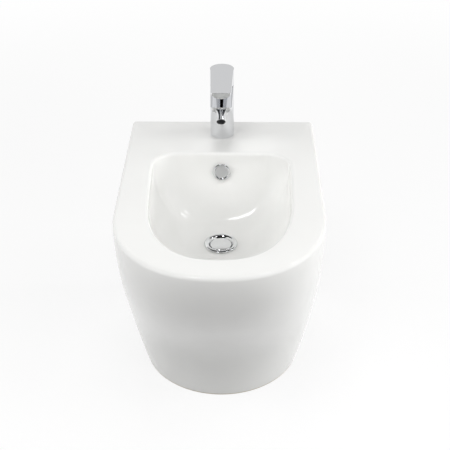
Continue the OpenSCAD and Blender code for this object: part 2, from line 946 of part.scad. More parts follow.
module dome_cover() {
    color("silver")
    at_tap()
    difference() {
        translate([0, 0, pivot_z])
            rotate_extrude($fn = 96)
                intersection() {
                    difference() {
                        circle(d = dome_d);
                        circle(d = dome_d - 2 * dome_t);
                    }
                    translate([0, dome_from - pivot_z])
                        square([dome_d, dome_d]);
                }
        // Slot for the stem as the lever lifts
        translate([-stem_d / 2 - free_gap, -stem_d / 2 - free_gap, pivot_z + 5])
            cube([stem_d + 2 * free_gap, stem_d + 2 * free_gap + dome_d / 2 * sin(lever_lift + 1),
                dome_d]);
    }
}

lever_z = column_h + lever_gap;
lever_top = column_h + lever_rise;
stem_cover = 4.5;
stem_top = lever_top - stem_cover;
lever_tilt = atan((lever_top - lever_tip_t - lever_z) / lever_reach);
recess_d = dome_d + 1.2;
lever_corner_r = 2.5;
grub_d = 4;
grub_below = 3.5;
grub_in = 5;
grub_hex_d = 2.3;
grub_hex_l = 3;

module lever_stem() {
    color("silver")
    at_tap() {
        difference() {
            union() {
                translate([0, 0, pivot_z]) sphere(d = stem_ball_d);
                translate([0, 0, pivot_z]) cylinder(h = stem_top - pivot_z, d = stem_d);
            }
            translate([0, 0, pivot_z]) across(stem_pin_d + 2 * run_gap, 2 * stem_ball_d);
        }
    }
}

module stem_pin() {
    color("silver")
    at_tap() translate([0, 0, pivot_z]) across(stem_pin_d, stem_ball_d + 2 * free_gap + 2 * cheek_t);
}

module lever() {
    color("silver")
    at_tap()
    difference() {
        union() {
            translate([0, 0, lever_z])
                cylinder(h = lever_top - lever_z, d = column_d - 2 * column_taper, $fn = 96);
            intersection() {
                translate([0, 0, lever_z])
                    linear_extrude(height = lever_top - lever_z)
                        polygon(tip_plan(column_d - 3, lever_tip_w, lever_reach, lever_corner_r));
                belly(column_r, lever_z, lever_tilt, lever_reach * 1.2);
            }
        }
        // Hollow over the dome
        translate([0, 0, pivot_z]) sphere(d = recess_d, $fn = 96);
        // Relief behind the pivot, so that the lever can tip up
        translate([-column_d, 0, lever_z])
            rotate([lever_lift + 2, 0, 0])
                translate([0, 0, -column_d])
                    cube([2 * column_d, 2 * column_d, column_d]);
        // Socket of the stem
        translate([0, 0, pivot_z])
            cylinder(h = stem_top - pivot_z, d = stem_d + 2 * run_gap);
        // Hole of the grub screw, from the back
        translate([0, 0, stem_top - grub_below])
            rotate([-90, 0, 0]) cylinder(h = column_d, d = grub_d + 2 * run_gap);
    }
}

grub_l = column_r - stem_d / 2 - grub_in;

module lever_screw() {
    color("dimgray")
    at_tap()
    translate([0, stem_d / 2, stem_top - grub_below])
        rotate([-90, 0, 0])
            difference() {
                cylinder(h = grub_l, d = grub_d);
                translate([0, 0, grub_l - grub_hex_l])
                    cylinder(h = grub_hex_l + cut, d = grub_hex_d / cos(30), $fn = 6);
            }
}

// ---- Nozzle ----

module at_ball() {
    at_tap() translate([0, ball_y, ball_z]) children();
}

// Turns +Z to point along the nozzle
module along_nozzle() {
    rotate([90 + nozzle_dip, 0, 0]) children();
}

aerator_d = 13;
aerator_t = 5;
collar_l = 4;

module nozzle_seal() {
    color("black")
    at_ball()
    difference() {
        rotate([-90, 0, 0]) cylinder(h = slot_r + seal_t, d = seal_d);
        sphere(r = slot_r);
        rotate([-90, 0, 0]) cylinder(h = 2 * ball_d, d = channel_d);
    }
}

module nozzle() {
    color("silver")
    at_ball()
    difference() {
        along_nozzle()
            rotate_extrude($fn = 96)
                difference() {
                    union() {
                        intersection() {
                            circle(d = ball_d);
                            translate([0, -ball_d]) square([ball_d, 2 * ball_d]);
                        }
                        square([barrel_d / 2, barrel_l]);
                        polygon([[0, barrel_l - collar_l - 1], [barrel_d / 2, barrel_l - collar_l - 1],
                            [outlet_d / 2, barrel_l - collar_l], [outlet_d / 2, barrel_l - 0.6],
                            [outlet_d / 2 - 0.6, barrel_l], [0, barrel_l]]);
                    }
                    // Water way, and the seat of the aerator
                    translate([-1, -ball_d]) square([channel_d / 2, 3 * ball_d]);
                    translate([-1, barrel_l - aerator_t]) square([aerator_d / 2 + 1, aerator_t + cut]);
                }
        across(pin_d + 2 * run_gap, 2 * ball_d);
    }
}

module nozzle_pin() {
    color("silver")
    at_ball() across(pin_d, nose_w - 6);
}

module aerator() {
    color("dimgray")
    at_ball()
    along_nozzle()
    translate([0, 0, barrel_l - aerator_t])
        difference() {
            cylinder(h = aerator_t - 0.5, d = aerator_d);
            // Ring of jets
            for (t = [0 : 45 : 315])
                rotate([0, 0, t])
                    translate([aerator_d / 3, 0, -cut])
                        cylinder(h = aerator_t + 2 * cut, d = 1.2);
            translate([0, 0, -cut])
                cylinder(h = aerator_t + 2 * cut, d = 1.6);
        }
}

// ---- Waste ----

flange_seal_t = 1;
flange_t = 3;
mouth_d = 47;
// The funnel of the flange ends here below the seat
funnel_l = 8;
shank_wall = 1.1;
shank_d = tail_bore_d - 2 * run_gap;
shank_bore_d = shank_d - 2 * shank_wall;
shank_l = 26;
slot_z = china_t + channel_t / 2 + 1;
waste_slot_d = 8;

module waste_flange() {
    color("silver")
    at_waste()
    difference() {
        rotate_extrude($fn = 96)
            polygon(concat(
                [[flange_d / 2, flange_seal_t]],
                [for (t = [0 : 15 : 135])
                    [(flange_d + mouth_d) / 4 + (flange_d - mouth_d) / 4 * cos(t),
                        flange_seal_t + 0.8 + (flange_t - 0.8) * sin(t)]],
                [[mouth_d / 2, flange_seal_t + flange_t - 1.1],
                    [waste_hole_d / 2 - 2.2, -0.5], [shank_bore_d / 2, -funnel_l],
                    [shank_bore_d / 2, -shank_l], [shank_d / 2, -shank_l], [shank_d / 2, -funnel_l - 1],
                    [waste_hole_d / 2 - 0.5, -1], [waste_hole_d / 2 - 0.5, flange_seal_t]]));
        // Overflow slots
        for (t = [0, 90])
            rotate([0, 0, t])
                translate([0, 0, -slot_z]) across(waste_slot_d, tail_d + 2 * slot_room);
    }
}

module flange_seal() {
    color("black")
    at_waste()
    difference() {
        cylinder(h = flange_seal_t, d = flange_d - 2);
        translate([0, 0, -cut])
            cylinder(h = flange_seal_t + 2 * cut, d = waste_hole_d + 1);
    }
}

port_boss_d = 19;
port_l = 36;
port_ball_d = 11;
port_bore_d = 14;
// Depth of the ball's seat behind the ball
port_seat = 2;
nut_cap_t = 4;
// Room for the swing of the pivot rod in the port
swing_room = 6;
rod_clear_d = rod_d + swing_room;
// Thicker body of the tail round the port
port_body_t = 2;
port_body_h = 24;
// Room at each end of the overflow slots
slot_room = 2;

module waste_tail() {
    color("silver")
    at_waste()
    difference() {
        union() {
            // Thread of the backnut
            translate([0, 0, -port_drop])
                cylinder(h = port_drop - funnel_l - 1, d = tail_d);
            // Body round the port, with the port of the pivot rod
            translate([0, 0, -port_drop - port_body_h / 2])
                cylinder(h = port_body_h, d = tail_d + 2 * port_body_t);
            translate([0, 0, -port_drop])
                rotate([-90, 0, 0]) cylinder(h = port_l, d = port_boss_d);
            // Outlet spigot
            translate([0, 0, -tail_l])
                cylinder(h = tail_l - port_drop, d = spigot_d);
        }
        translate([0, 0, -tail_l - cut])
            cylinder(h = tail_l, d = tail_bore_d);
        for (t = [0, 90])
            rotate([0, 0, t])
                translate([0, 0, -slot_z]) across(waste_slot_d, tail_d + 2 * slot_room);
        // Port: a narrow way in, then the seat of the ball
        translate([0, 0, -port_drop])
            rotate([-90, 0, 0]) {
                cylinder(h = port_l + cut, d = rod_clear_d);
                translate([0, 0, pivot_arm - port_ball_d / 2 - port_seat])
                    cylinder(h = port_l, d = port_bore_d);
            }
    }
}

under_seal_t = 5;
under_washer_t = 1.5;
backnut_t = 8;
backnut_af = 54;

module under_seal() {
    color("black")
    at_waste()
    translate([0, 0, -waste_boss_h - under_seal_t])
        difference() {
            cylinder(h = under_seal_t, d = waste_boss_d - 12);
            translate([0, 0, -cut])
                cylinder(h = under_seal_t + 2 * cut, d = tail_d + 2 * slip_gap);
        }
}

module under_washer() {
    color("whitesmoke")
    at_waste()
    translate([0, 0, -waste_boss_h - under_seal_t - under_washer_t])
        difference() {
            cylinder(h = under_washer_t, d = waste_boss_d - 12);
            translate([0, 0, -cut])
                cylinder(h = under_washer_t + 2 * cut, d = tail_d + 2 * slip_gap);
        }
}

module backnut() {
    color("gold")
    at_waste()
    translate([0, 0, -waste_boss_h - under_seal_t - under_washer_t - backnut_t])
        difference() {
            cylinder(h = backnut_t, d = backnut_af / cos(30), $fn = 6);
            translate([0, 0, -cut])
                cylinder(h = backnut_t + 2 * cut, d = tail_d + 2 * run_gap);
        }
}

module at_pivot() {
    at_waste() translate([0, pivot_arm, -port_drop]) children();
}

port_seal_t = 2;
// The port nut starts here beyond the ball's centre
nut_from = 2;
port_nut_wall = 3;

module port_seal() {
    color("white")
    at_pivot()
    difference() {
        rotate([90, 0, 0])
            translate([0, 0, port_ball_d / 2 - port_seal_t])
                cylinder(h = port_seal_t + port_seat, d = port_bore_d - 2 * run_gap);
        sphere(r = port_ball_d / 2 + free_gap);
        rotate([90, 0, 0]) cylinder(h = port_l, d = rod_clear_d - 2);
    }
}

module port_nut() {
    color("silver")
    at_pivot()
    difference() {
        union() {
            difference() {
                translate([0, nut_from, 0])
                    rotate([-90, 0, 0])
                        cylinder(h = port_l - pivot_arm - nut_from + nut_cap_t,
                            d = port_boss_d + 2 * port_nut_wall);
                // Thread round the boss
                rotate([-90, 0, 0])
                    cylinder(h = port_l - pivot_arm, d = port_boss_d + 2 * run_gap);
            }
            // Ring inside the boss that keeps the ball on its seat
            translate([0, nut_from, 0])
                rotate([-90, 0, 0])
                    cylinder(h = port_l - pivot_arm - nut_from + nut_cap_t / 2,
                        d = port_bore_d - 2 * slip_gap);
        }
        rotate([-90, 0, 0])
            cylinder(h = port_l, d = rod_clear_d - 1);
        sphere(r = port_ball_d / 2 + free_gap);
    }
}

// The pivot rod runs from under the plug, through its ball, to the strap behind the basin
rod_in = pivot_arm + 3;
rod_out = waste_d - pivot_arm - tap_d;

module along_pivot() {
    rotate([pivot_tilt, 0, 0]) rotate([-90, 0, 0]) children();
}

module pivot_rod() {
    color("silver")
    at_pivot() {
        sphere(d = port_ball_d);
        along_pivot()
            translate([0, 0, -rod_in])
                cylinder(h = rod_in + rod_out, d = rod_d);
    }
}

// ---- Lift rod and strap ----

strap_w = 13;
strap_t = 1.6;
strap_hole_d = rod_d + 3.5;
strap_pitch = 11;
strap_holes = 7;
clevis_w = 11;
clevis_h = 12;
thumb_d = 4;
thumb_l = 8;
thumb_head_d = 10;
thumb_head_t = 5;
knob_seat = 4;
// Along the lift rod: the clevis near its lower end, the strap on its wall side
rod_past = 4;
clevis_s = -rod_down + rod_past;
strap_off = clevis_w / 2;
strap_mid = strap_off + strap_t / 2;
// The pivot ball, seen from the tap hole as [Y, Z]
ball_at = [tap_d - waste_d + pivot_arm, -basin_depth - port_drop];
// Where the pivot rod crosses the strap: along the pivot rod, and along the lift rod
cross_l = (rod_back - ball_at[0] + strap_mid * cos(rod_lean)
    + tan(rod_lean) * (ball_at[1] + strap_mid * sin(rod_lean)))
    / (cos(pivot_tilt) - tan(rod_lean) * sin(pivot_tilt));
cross_s = (ball_at[1] + cross_l * sin(pivot_tilt) + strap_mid * sin(rod_lean)) / cos(rod_lean);
// How far the lift rod goes down while the pivot rod swings through twice its tilt
rod_travel = 2 * cross_l * sin(pivot_tilt) / (cos(rod_lean) + tan(pivot_tilt) * sin(rod_lean));

module lift_rod() {
    color("silver")
    at_tap()
    rod_line()
        translate([0, 0, -rod_down])
            cylinder(h = rod_down + rod_up, d = rod_d);
}

module lift_knob() {
    color("silver")
    at_tap()
    rod_line()
        translate([0, 0, rod_up - knob_seat])
            difference() {
                rotate_extrude()
                    polygon([[0, 0], [knob_d / 2 - 2.5, 0], [knob_d / 2 - 1.5, 5], [knob_d / 2, 8],
                        [knob_d / 2, 13], [knob_d / 2 - 1, 14], [0, 14]]);
                translate([0, 0, -cut]) cylinder(h = knob_seat + cut, d = rod_d + 2 * run_gap);
            }
}

module clevis_strap() {
    color("silver")
    at_tap()
    rod_line()
    difference() {
        union() {
            // Clevis block round the lift rod
            translate([-clevis_w / 2, -clevis_w / 2, clevis_s])
                cube([clevis_w, clevis_w, clevis_h]);
            // Strap
            translate([-strap_w / 2, strap_off - cut / 2, cross_s - strap_pitch])
                cube([strap_w, strap_t + cut / 2, clevis_s + clevis_h - cross_s + strap_pitch]);
        }
        translate([0, 0, clevis_s - cut])
            cylinder(h = clevis_h + 2 * cut, d = rod_d + 2 * run_gap);
        // Hole of the thumb screw
        translate([0, -clevis_w / 2 - cut, clevis_s + clevis_h / 2])
            rotate([-90, 0, 0]) cylinder(h = clevis_w / 2 + cut, d = thumb_d + 2 * run_gap);
        // Row of holes for the pivot rod
        for (i = [0 : strap_holes - 1])
            translate([0, strap_off - cut, cross_s + i * strap_pitch])
                rotate([-90, 0, 0]) cylinder(h = strap_t + 3 * cut, d = strap_hole_d);
    }
}

module clevis_screw() {
    color("silver")
    at_tap()
    rod_line()
        translate([0, 0, clevis_s + clevis_h / 2])
            rotate([90, 0, 0]) {
                translate([0, 0, rod_d / 2]) cylinder(h = thumb_l, d = thumb_d);
                translate([0, 0, rod_d / 2 + thumb_l - 2]) cylinder(h = thumb_head_t, d = thumb_head_d);
            }
}

// The clip has one leg on each side of the strap, wide enough apart for its slant and its travel
clip_half = 8.2;
clip_t = 1;
clip_w = 10;
clip_reach = strap_w / 2 + 2;
clip_at = cross_l - rod_travel * sin(rod_lean) / 2;

module spring_clip() {
    color("silver")
    at_pivot()
    along_pivot()
    difference() {
        translate([-clip_w / 2, -clip_w / 2, clip_at - clip_half])
            cube([clip_w / 2 + clip_reach + clip_t, clip_w, 2 * clip_half]);
        translate([-clip_w, -clip_w, clip_at - clip_half + clip_t])
            cube([clip_w + clip_reach, 2 * clip_w, 2 * clip_half - 2 * clip_t]);
        cylinder(h = 2 * cross_l, d = rod_d + 2 * run_gap);
    }
}

// ---- Plug ----

plug_top = flange_seal_t + flange_t - 3.4;
plug_t = 3;
plug_seal_w = 2;
plug_seal_d = plug_d - 3.6;
vane_r = shank_bore_d / 2 - 0.6;
vane_t = 1.6;
vane_h = 12;
vane_up = 8;
plug_stem_d = 7;
// Lower end of the plug's stem, and the collar of the foot
foot_top = -34;
foot_collar_t = 3;
foot_collar_w = 2;
// The foot of the plug rests on the inner end of the pivot rod
foot_z = -port_drop - (pivot_arm - plug_stem_d / 2) * tan(pivot_tilt)
    + rod_d / 2 / cos(pivot_tilt) + free_gap;

module waste_plug() {
    color("silver")
    at_waste() {
        // Mirror top with a rounded edge
        rotate_extrude($fn = 96)
            polygon([[0, plug_top - plug_t], [plug_d / 2 - 2, plug_top - plug_t],
                [plug_d / 2, plug_top - 1.2], [plug_d / 2, plug_top - 0.6],
                [plug_d / 2 - 0.6, plug_top], [0, plug_top]]);
        translate([0, 0, foot_top])
            cylinder(h = plug_top - plug_t - foot_top + 0.5, d = plug_stem_d);
        // Four guide vanes
        for (t = [45, 135])
            rotate([0, 0, t])
                translate([-vane_r, -vane_t / 2, foot_top + vane_up])
                    cube([2 * vane_r, vane_t, vane_h]);
    }
}

module plug_seal() {
    color("black")
    at_waste()
    translate([0, 0, plug_top - plug_t - plug_seal_w])
        difference() {
            cylinder(h = plug_seal_w, d = plug_seal_d);
            translate([0, 0, -cut])
                cylinder(h = plug_seal_w + 2 * cut, d = plug_stem_d + 2 * run_gap);
        }
}

module plug_foot() {
    color("silver")
    at_waste() {
        translate([0, 0, foot_z]) cylinder(h = foot_top - foot_z, d = plug_stem_d);
        translate([0, 0, foot_top - foot_collar_t])
            cylinder(h = foot_collar_t, d = plug_stem_d + 2 * foot_collar_w);
    }
}

// ---- Overflow ----

cap_gap = 3;
cap_t = 4.5;
sleeve_t = 1.5;
sleeve_l = china_t - 2;

module overflow_cap() {
    color("silver")
    at_overflow()
    difference() {
        union() {
            // Dished face with a rolled rim
            translate([0, 0, cap_gap])
                rotate_extrude($fn = 96)
                    polygon(concat([[0, 0.5], [overflow_cap_d / 2 - 3, 0]],
                        [for (t = [-90 : 15 : 180])
                            [overflow_cap_d / 2 - cap_t / 2 + cap_t / 2 * cos(t),
                                cap_t / 2 + cap_t / 2 * sin(t)]],
                        [[overflow_cap_d / 2 - cap_t - 2, 2.4], [0, 2]]));
            // Stub into the sleeve
            translate([0, 0, -sleeve_l + 1])
                cylinder(h = sleeve_l + cap_gap, d = overflow_hole_d - 2 * sleeve_t - 2 * slip_gap);
        }
        // Hollow stub
        translate([0, 0, -sleeve_l])
            cylinder(h = sleeve_l + cap_gap, d = overflow_hole_d - 2 * sleeve_t - 4);
        // Water slots behind the face
        for (t = [0, 60, 120])
            rotate([0, 0, t])
                translate([-overflow_cap_d, -3.5, -1])
                    cube([2 * overflow_cap_d, 7, cap_gap + 1]);
    }
}

module overflow_sleeve() {
    color("whitesmoke")
    at_overflow()
    difference() {
        translate([0, 0, -sleeve_l]) cylinder(h = sleeve_l, d = overflow_hole_d - 2 * run_gap);
        translate([0, 0, -sleeve_l - cut])
            cylinder(h = sleeve_l + 3 * cut, d = overflow_hole_d - 2 * sleeve_t);
    }
}

bowl_deck();
bowl_rim();
wall_left();
wall_right();
wall_front_left();
wall_front_right();
wall_back();
basin_back_left();
basin_back_right();
basin_front_left();
basin_front_right();
basin_floor();
overflow_duct();
bracket_left();
bracket_right();
side_screws();
side_sleeves();
side_caps();
mixer_body();
base_gasket();
fixing_stud();
rubber_washer();
metal_washer();
fixing_nut();
cartridge_housing();
fixed_disc();
moving_disc();
cartridge_nut();
cartridge_carrier();
dome_cover();
lever_stem();
stem_pin();
lever();
lever_screw();
nozzle_seal();
nozzle();
nozzle_pin();
aerator();
waste_flange();
flange_seal();
waste_tail();
under_seal();
under_washer();
backnut();
port_seal();
port_nut();
pivot_rod();
clevis_strap();
clevis_screw();
spring_clip();
lift_rod();
lift_knob();
waste_plug();
plug_seal();
plug_foot();
overflow_cap();
overflow_sleeve();
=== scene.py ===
import json
from functools import partial
from math import acos, asin, atan2, cos, hypot, pi, radians, sin

import bmesh
import bpy
import numpy as np
from bpy.types import Operator, Panel, PropertyGroup
from mathutils import Matrix, Vector


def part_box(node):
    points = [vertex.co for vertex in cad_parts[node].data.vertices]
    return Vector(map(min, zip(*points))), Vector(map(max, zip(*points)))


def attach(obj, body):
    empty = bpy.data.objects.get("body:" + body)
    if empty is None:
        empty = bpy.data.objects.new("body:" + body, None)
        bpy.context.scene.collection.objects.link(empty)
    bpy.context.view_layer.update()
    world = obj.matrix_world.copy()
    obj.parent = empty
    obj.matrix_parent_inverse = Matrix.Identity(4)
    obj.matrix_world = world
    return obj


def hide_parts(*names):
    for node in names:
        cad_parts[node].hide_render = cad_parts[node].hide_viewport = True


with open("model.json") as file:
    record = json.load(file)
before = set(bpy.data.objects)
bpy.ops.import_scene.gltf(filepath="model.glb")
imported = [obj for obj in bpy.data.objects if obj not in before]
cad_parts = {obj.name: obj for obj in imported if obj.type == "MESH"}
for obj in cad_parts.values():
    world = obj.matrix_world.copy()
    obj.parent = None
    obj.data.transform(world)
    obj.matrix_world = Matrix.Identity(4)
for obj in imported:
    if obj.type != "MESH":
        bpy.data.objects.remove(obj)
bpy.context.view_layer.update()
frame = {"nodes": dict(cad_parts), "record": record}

bl_info = {
    "name": "Floor Standing Bidet",
    "version": (1, 0, 0),
    "blender": (4, 5, 0),
    "location": "View3D > Sidebar > Bidet",
    "description": "Dresses a back-to-wall bidet with its mixer and pop-up waste",
    "category": "Object",
}

MM = 0.001
RECORD = frame["record"]
BODY_OF = {node: body for body, nodes in RECORD["behaviour"]["bodies"].items() for node in nodes}
SLOT_OF = {part["node"]: part["material_slot"] for part in RECORD["subparts"]}
CHINA = [node for node, slot in SLOT_OF.items() if slot == "china"]
BOWL_LOW = Vector([min(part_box(node)[0][i] for node in CHINA) for i in range(3)])
BOWL_HIGH = Vector([max(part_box(node)[1][i] for node in CHINA) for i in range(3)])
WALL_Y = BOWL_HIGH.y
RIM_Z = BOWL_HIGH.z
GASKET_LOW, GASKET_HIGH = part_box("base_gasket")
TAP_Y = (GASKET_LOW.y + GASKET_HIGH.y) / 2
FLANGE_LOW, FLANGE_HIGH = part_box("waste_flange")
WASTE_Y = (FLANGE_LOW.y + FLANGE_HIGH.y) / 2
SEAT_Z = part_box("flange_seal")[0].z


def linear(hex_colour):
    """Turns an sRGB hex colour to linear red, green and blue."""
    parts = [int(hex_colour[i:i + 2], 16) / 255 for i in (1, 3, 5)]
    return tuple(c / 12.92 if c <= 0.04045 else ((c + 0.055) / 1.055) ** 2.4 for c in parts)


def add_node(tree, kind, inputs=None, **settings):
    """Adds a node, sets its properties, and fills its inputs with values, nodes or sockets."""
    node = tree.nodes.new(kind)
    for key, value in settings.items():
        setattr(node, key, value)
    for key, value in (inputs or {}).items():
        if isinstance(value, bpy.types.Node):
            value = value.outputs[0]
        if isinstance(value, bpy.types.NodeSocket):
            tree.links.new(value, node.inputs[key])
        else:
            node.inputs[key].default_value = value
    return node


# ---- Finishes ----

# Noise stays between these values almost everywhere
NOISE_LOW, NOISE_HIGH = 0.3, 0.7
MATERIALS = {}


def new_material(name):
    """A material, what adds nodes to its empty tree, and the place on the piece."""
    material = bpy.data.materials.new(name)
    material.use_nodes = True
    tree = material.node_tree
    tree.nodes.clear()
    add = partial(add_node, tree)
    return material, add, add("ShaderNodeTexCoord").outputs["Object"]


def shade(colour, share):
    return [c * share for c in colour]


def vitreous_china(colour, bisque):
    # Vitreous china, dipped in white glaze and fired: a deep even gloss over a surface that is
    # never quite flat. The last 2 mm at the floor are wiped free of glaze, so they stay matt.
    material, add, where = new_material("vitreous_china_glazed")
    # The body warps by a hair over a hand's breadth as it dries and fires
    warp = add("ShaderNodeTexNoise", {"Vector": where, "Scale": 1 / (60 * MM), "Detail": 1.0})
    # Glaze runs leave ripples a few millimetres wide
    ripple = add("ShaderNodeTexNoise", {"Vector": where, "Scale": 1 / (4 * MM), "Detail": 1.0})
    # Thicker glaze is a trace whiter, over areas the size of a palm
    cloud = add("ShaderNodeTexNoise", {"Vector": where, "Scale": 1 / (90 * MM), "Detail": 2.0})
    cloudy = add("ShaderNodeMapRange", {
        "Value": cloud, "From Min": NOISE_LOW, "From Max": NOISE_HIGH})
    glaze = add("ShaderNodeMix", {
        "Factor": cloudy, 6: (*colour, 1), 7: (*shade(colour, 0.985), 1)}, data_type="RGBA")
    height = add("ShaderNodeSeparateXYZ", {"Vector": where})
    bare = add("ShaderNodeMapRange", {
        "Value": height.outputs["Z"], "From Min": 1.8 * MM, "From Max": 2.4 * MM,
        "To Min": 1.0, "To Max": 0.0})
    skin = add("ShaderNodeMix", {
        "Factor": bare, 6: glaze.outputs[2], 7: (*bisque, 1)}, data_type="RGBA")
    gloss = add("ShaderNodeMapRange", {
        "Value": ripple, "From Min": NOISE_LOW, "From Max": NOISE_HIGH,
        "To Min": 0.07, "To Max": 0.11})
    rough = add("ShaderNodeMath", {0: gloss, 1: bare}, operation="MAXIMUM")
    flow = add("ShaderNodeBump", {"Height": warp, "Strength": 0.06, "Distance": 2 * MM})
    peel = add("ShaderNodeBump", {
        "Height": ripple, "Strength": 0.03, "Distance": 0.2 * MM, "Normal": flow})
    shader = add("ShaderNodeBsdfPrincipled", {
        "Base Color": skin.outputs[2], "Roughness": rough, "IOR": 1.52, "Normal": peel})
    add("ShaderNodeOutputMaterial", {"Surface": shader})
    return material


def zinc_steel(colour):
    # Pressed steel with bright zinc: a spangle of grey crystals, half dull
    material, add, where = new_material("zinc_plated_pressed_steel")
    spangle = add("ShaderNodeTexVoronoi", {"Vector": where, "Scale": 1 / (6 * MM)})
    grey = add("ShaderNodeSeparateColor", {"Color": spangle.outputs["Color"]})
    plate = add("ShaderNodeMix", {
        "Factor": grey, 6: (*colour, 1), 7: (*shade(colour, 0.8), 1)}, data_type="RGBA")
    gloss = add("ShaderNodeMapRange", {"Value": grey, "To Min": 0.32, "To Max": 0.5})
    shader = add("ShaderNodeBsdfPrincipled", {
        "Base Color": plate.outputs[2], "Metallic": 1.0, "Roughness": gloss})
    add("ShaderNodeOutputMaterial", {"Surface": shader})
    return material


def grained(name, colour, grains, gloss, relief=None, patches=None, **body):
    """A finish whose roughness runs between the two values of gloss with a fine grain.

    Each grain is its size in millimetres, its detail and its stretch. Relief is a bump's strength
    and height in millimetres, and patches are where they start, where they are full, and their
    colour. Both follow the grain of their own name, or else that of the gloss.
    """
    material, add, where = new_material(name)
    noise = {}
    for use, (size, detail, *stretch) in grains.items():
        along = add("ShaderNodeMapping", {"Vector": where, "Scale": stretch or (1, 1, 1)})
        noise[use] = add("ShaderNodeTexNoise", {
            "Vector": along, "Scale": 1 / (size * MM), "Detail": detail})
    fine = noise["gloss"]
    body["Base Color"] = (*colour, 1)
    body["Roughness"] = add("ShaderNodeMapRange", {
        "Value": fine, "From Min": NOISE_LOW, "From Max": NOISE_HIGH,
        "To Min": gloss[0], "To Max": gloss[1]})
    if patches:
        start, full, second = patches
        share = add("ShaderNodeMapRange", {
            "Value": noise.get("patches", fine), "From Min": start, "From Max": full})
        body["Base Color"] = add("ShaderNodeMix", {
            "Factor": share, 6: (*colour, 1), 7: (*second, 1)}, data_type="RGBA").outputs[2]
    if relief:
        body["Normal"] = add("ShaderNodeBump", {
            "Height": noise.get("relief", fine), "Strength": relief[0],
            "Distance": relief[1] * MM})
    shader = add("ShaderNodeBsdfPrincipled", body)
    add("ShaderNodeOutputMaterial", {"Surface": shader})
    return material


def chrome_plate(colour):
    # Chromium plate over polished brass: a mirror, with the faint pull of the polishing mop
    return grained("chrome_plated_brass", colour, {"gloss": (1.5, 3, 1, 1, 0.2), "relief": (12, 1)},
                   (0.03, 0.055), relief=(0.02, 0.3), Metallic=1.0)


def dull_nickel(colour):
    # Nickel plate straight from the bath, under the china: grey and soft in its shine
    return grained("nickel_plated_brass_dull", colour, {"gloss": (1.2, 3), "patches": (14, 4)},
                   (0.2, 0.34), patches=(0.45, 0.75, shade(colour, 0.86)), Metallic=1.0)


def turned_brass(colour, dark):
    # Brass from the lathe: fine rings left by the tool, and a brown bloom from handling
    return grained("turned_brass", colour, {"gloss": (0.5, 2, 0.1, 0.1, 1), "patches": (8, 4)},
                   (0.22, 0.4), relief=(0.15, 0.1), patches=(0.5, 0.8, dark), Metallic=1.0)


def drawn_steel(colour):
    # Drawn stainless bar and strip: faint lines along the draw, made coarser so that they show
    return grained("drawn_stainless_steel", colour, {"gloss": (0.5, 2, 1, 0.2, 0.06)},
                   (0.18, 0.32), relief=(0.1, 0.1), Metallic=1.0)


def black_oxide(colour):
    # Hardened steel with black oxide: near black with an oily shine
    return grained("black_oxide_steel", colour, {"gloss": (0.8, 2)}, (0.25, 0.45), Metallic=1.0)


def black_rubber(colour):
    # Pressed nitrile rubber: matt black with a grey bloom of talc
    return grained("nitrile_rubber", colour, {"gloss": (1.6, 4)}, (0.6, 0.8),
                   patches=(0.4, 0.8, shade(colour, 2)), IOR=1.52)


def moulded_acetal(name, colour, pit):
    # Injection moulded acetal: satin, with the fine pits of a spark-eroded tool
    return grained(name, colour, {"gloss": (pit, 2)}, (0.32, 0.44), relief=(0.08, 0.1), IOR=1.48)


def lapped_ceramic(name, colour):
    # Sintered ceramic, lapped flat to seal against its mate: stone-like, with tiny grains
    return grained(name, colour, {"gloss": (0.7, 3)}, (0.16, 0.26),
                   patches=(NOISE_LOW, NOISE_HIGH, shade(colour, 0.92)), IOR=1.77)


def finish(slot):
    """The material of a slot, made once from the colours in the scene's settings."""
    tones = bpy.context.scene.bidet_finish
    makers = {
        "china": lambda: vitreous_china(tones.china, tones.bisque),
        "chrome": lambda: chrome_plate(tones.chrome),
        "plated_brass": lambda: dull_nickel(tones.nickel),
        "raw_brass": lambda: turned_brass(tones.brass, tones.tarnish),
        "steel": lambda: drawn_steel(tones.steel),
        "grub": lambda: black_oxide(tones.black_steel),
        "bracket": lambda: zinc_steel(tones.zinc),
        "rubber": lambda: black_rubber(tones.rubber),
        "white_plastic": lambda: moulded_acetal("acetal_white", tones.white_plastic, 1.4),
        "dark_plastic": lambda: moulded_acetal("acetal_dark_grey", tones.dark_plastic, 0.8),
        "disc_white": lambda: lapped_ceramic("alumina_white", tones.white_disc),
        "disc_dark": lambda: lapped_ceramic("silicon_carbide_dark", tones.dark_disc),
    }
    if slot not in MATERIALS:
        MATERIALS[slot] = makers[slot]()
    return MATERIALS[slot]


# ---- Making pieces ----

# Corners of a CAD mesh that lie closer are one, and faces that lean apart by less are one face
WELD, FLAT = 2e-6, radians(0.4)
# Faces that lean apart by more degrees meet in a sharp edge
SHARP = 40


def new_object(name, data):
    piece = bpy.data.objects.new(name, data)
    bpy.context.scene.collection.objects.link(piece)
    return piece


def apply_modifiers(piece):
    """Turns a piece with live modifiers into a plain mesh."""
    graph = bpy.context.evaluated_depsgraph_get()
    mesh = bpy.data.meshes.new_from_object(piece.evaluated_get(graph), depsgraph=graph)
    piece.modifiers.clear()
    old = piece.data
    piece.data = mesh
    bpy.data.meshes.remove(old)


def smooth_by_angle(mesh, degrees=SHARP):
    mesh.polygons.foreach_set("use_smooth", [True] * len(mesh.polygons))
    mesh.set_sharp_from_angle(angle=radians(degrees))
    mesh.update()


def place(piece, body, slot, *nodes):
    """Gives a finished piece its material, its body and the CAD nodes that it stands for."""
    piece.data.materials.clear()
    piece.data.materials.append(finish(slot))
    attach(piece, body)
    if nodes:
        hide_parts(*nodes)


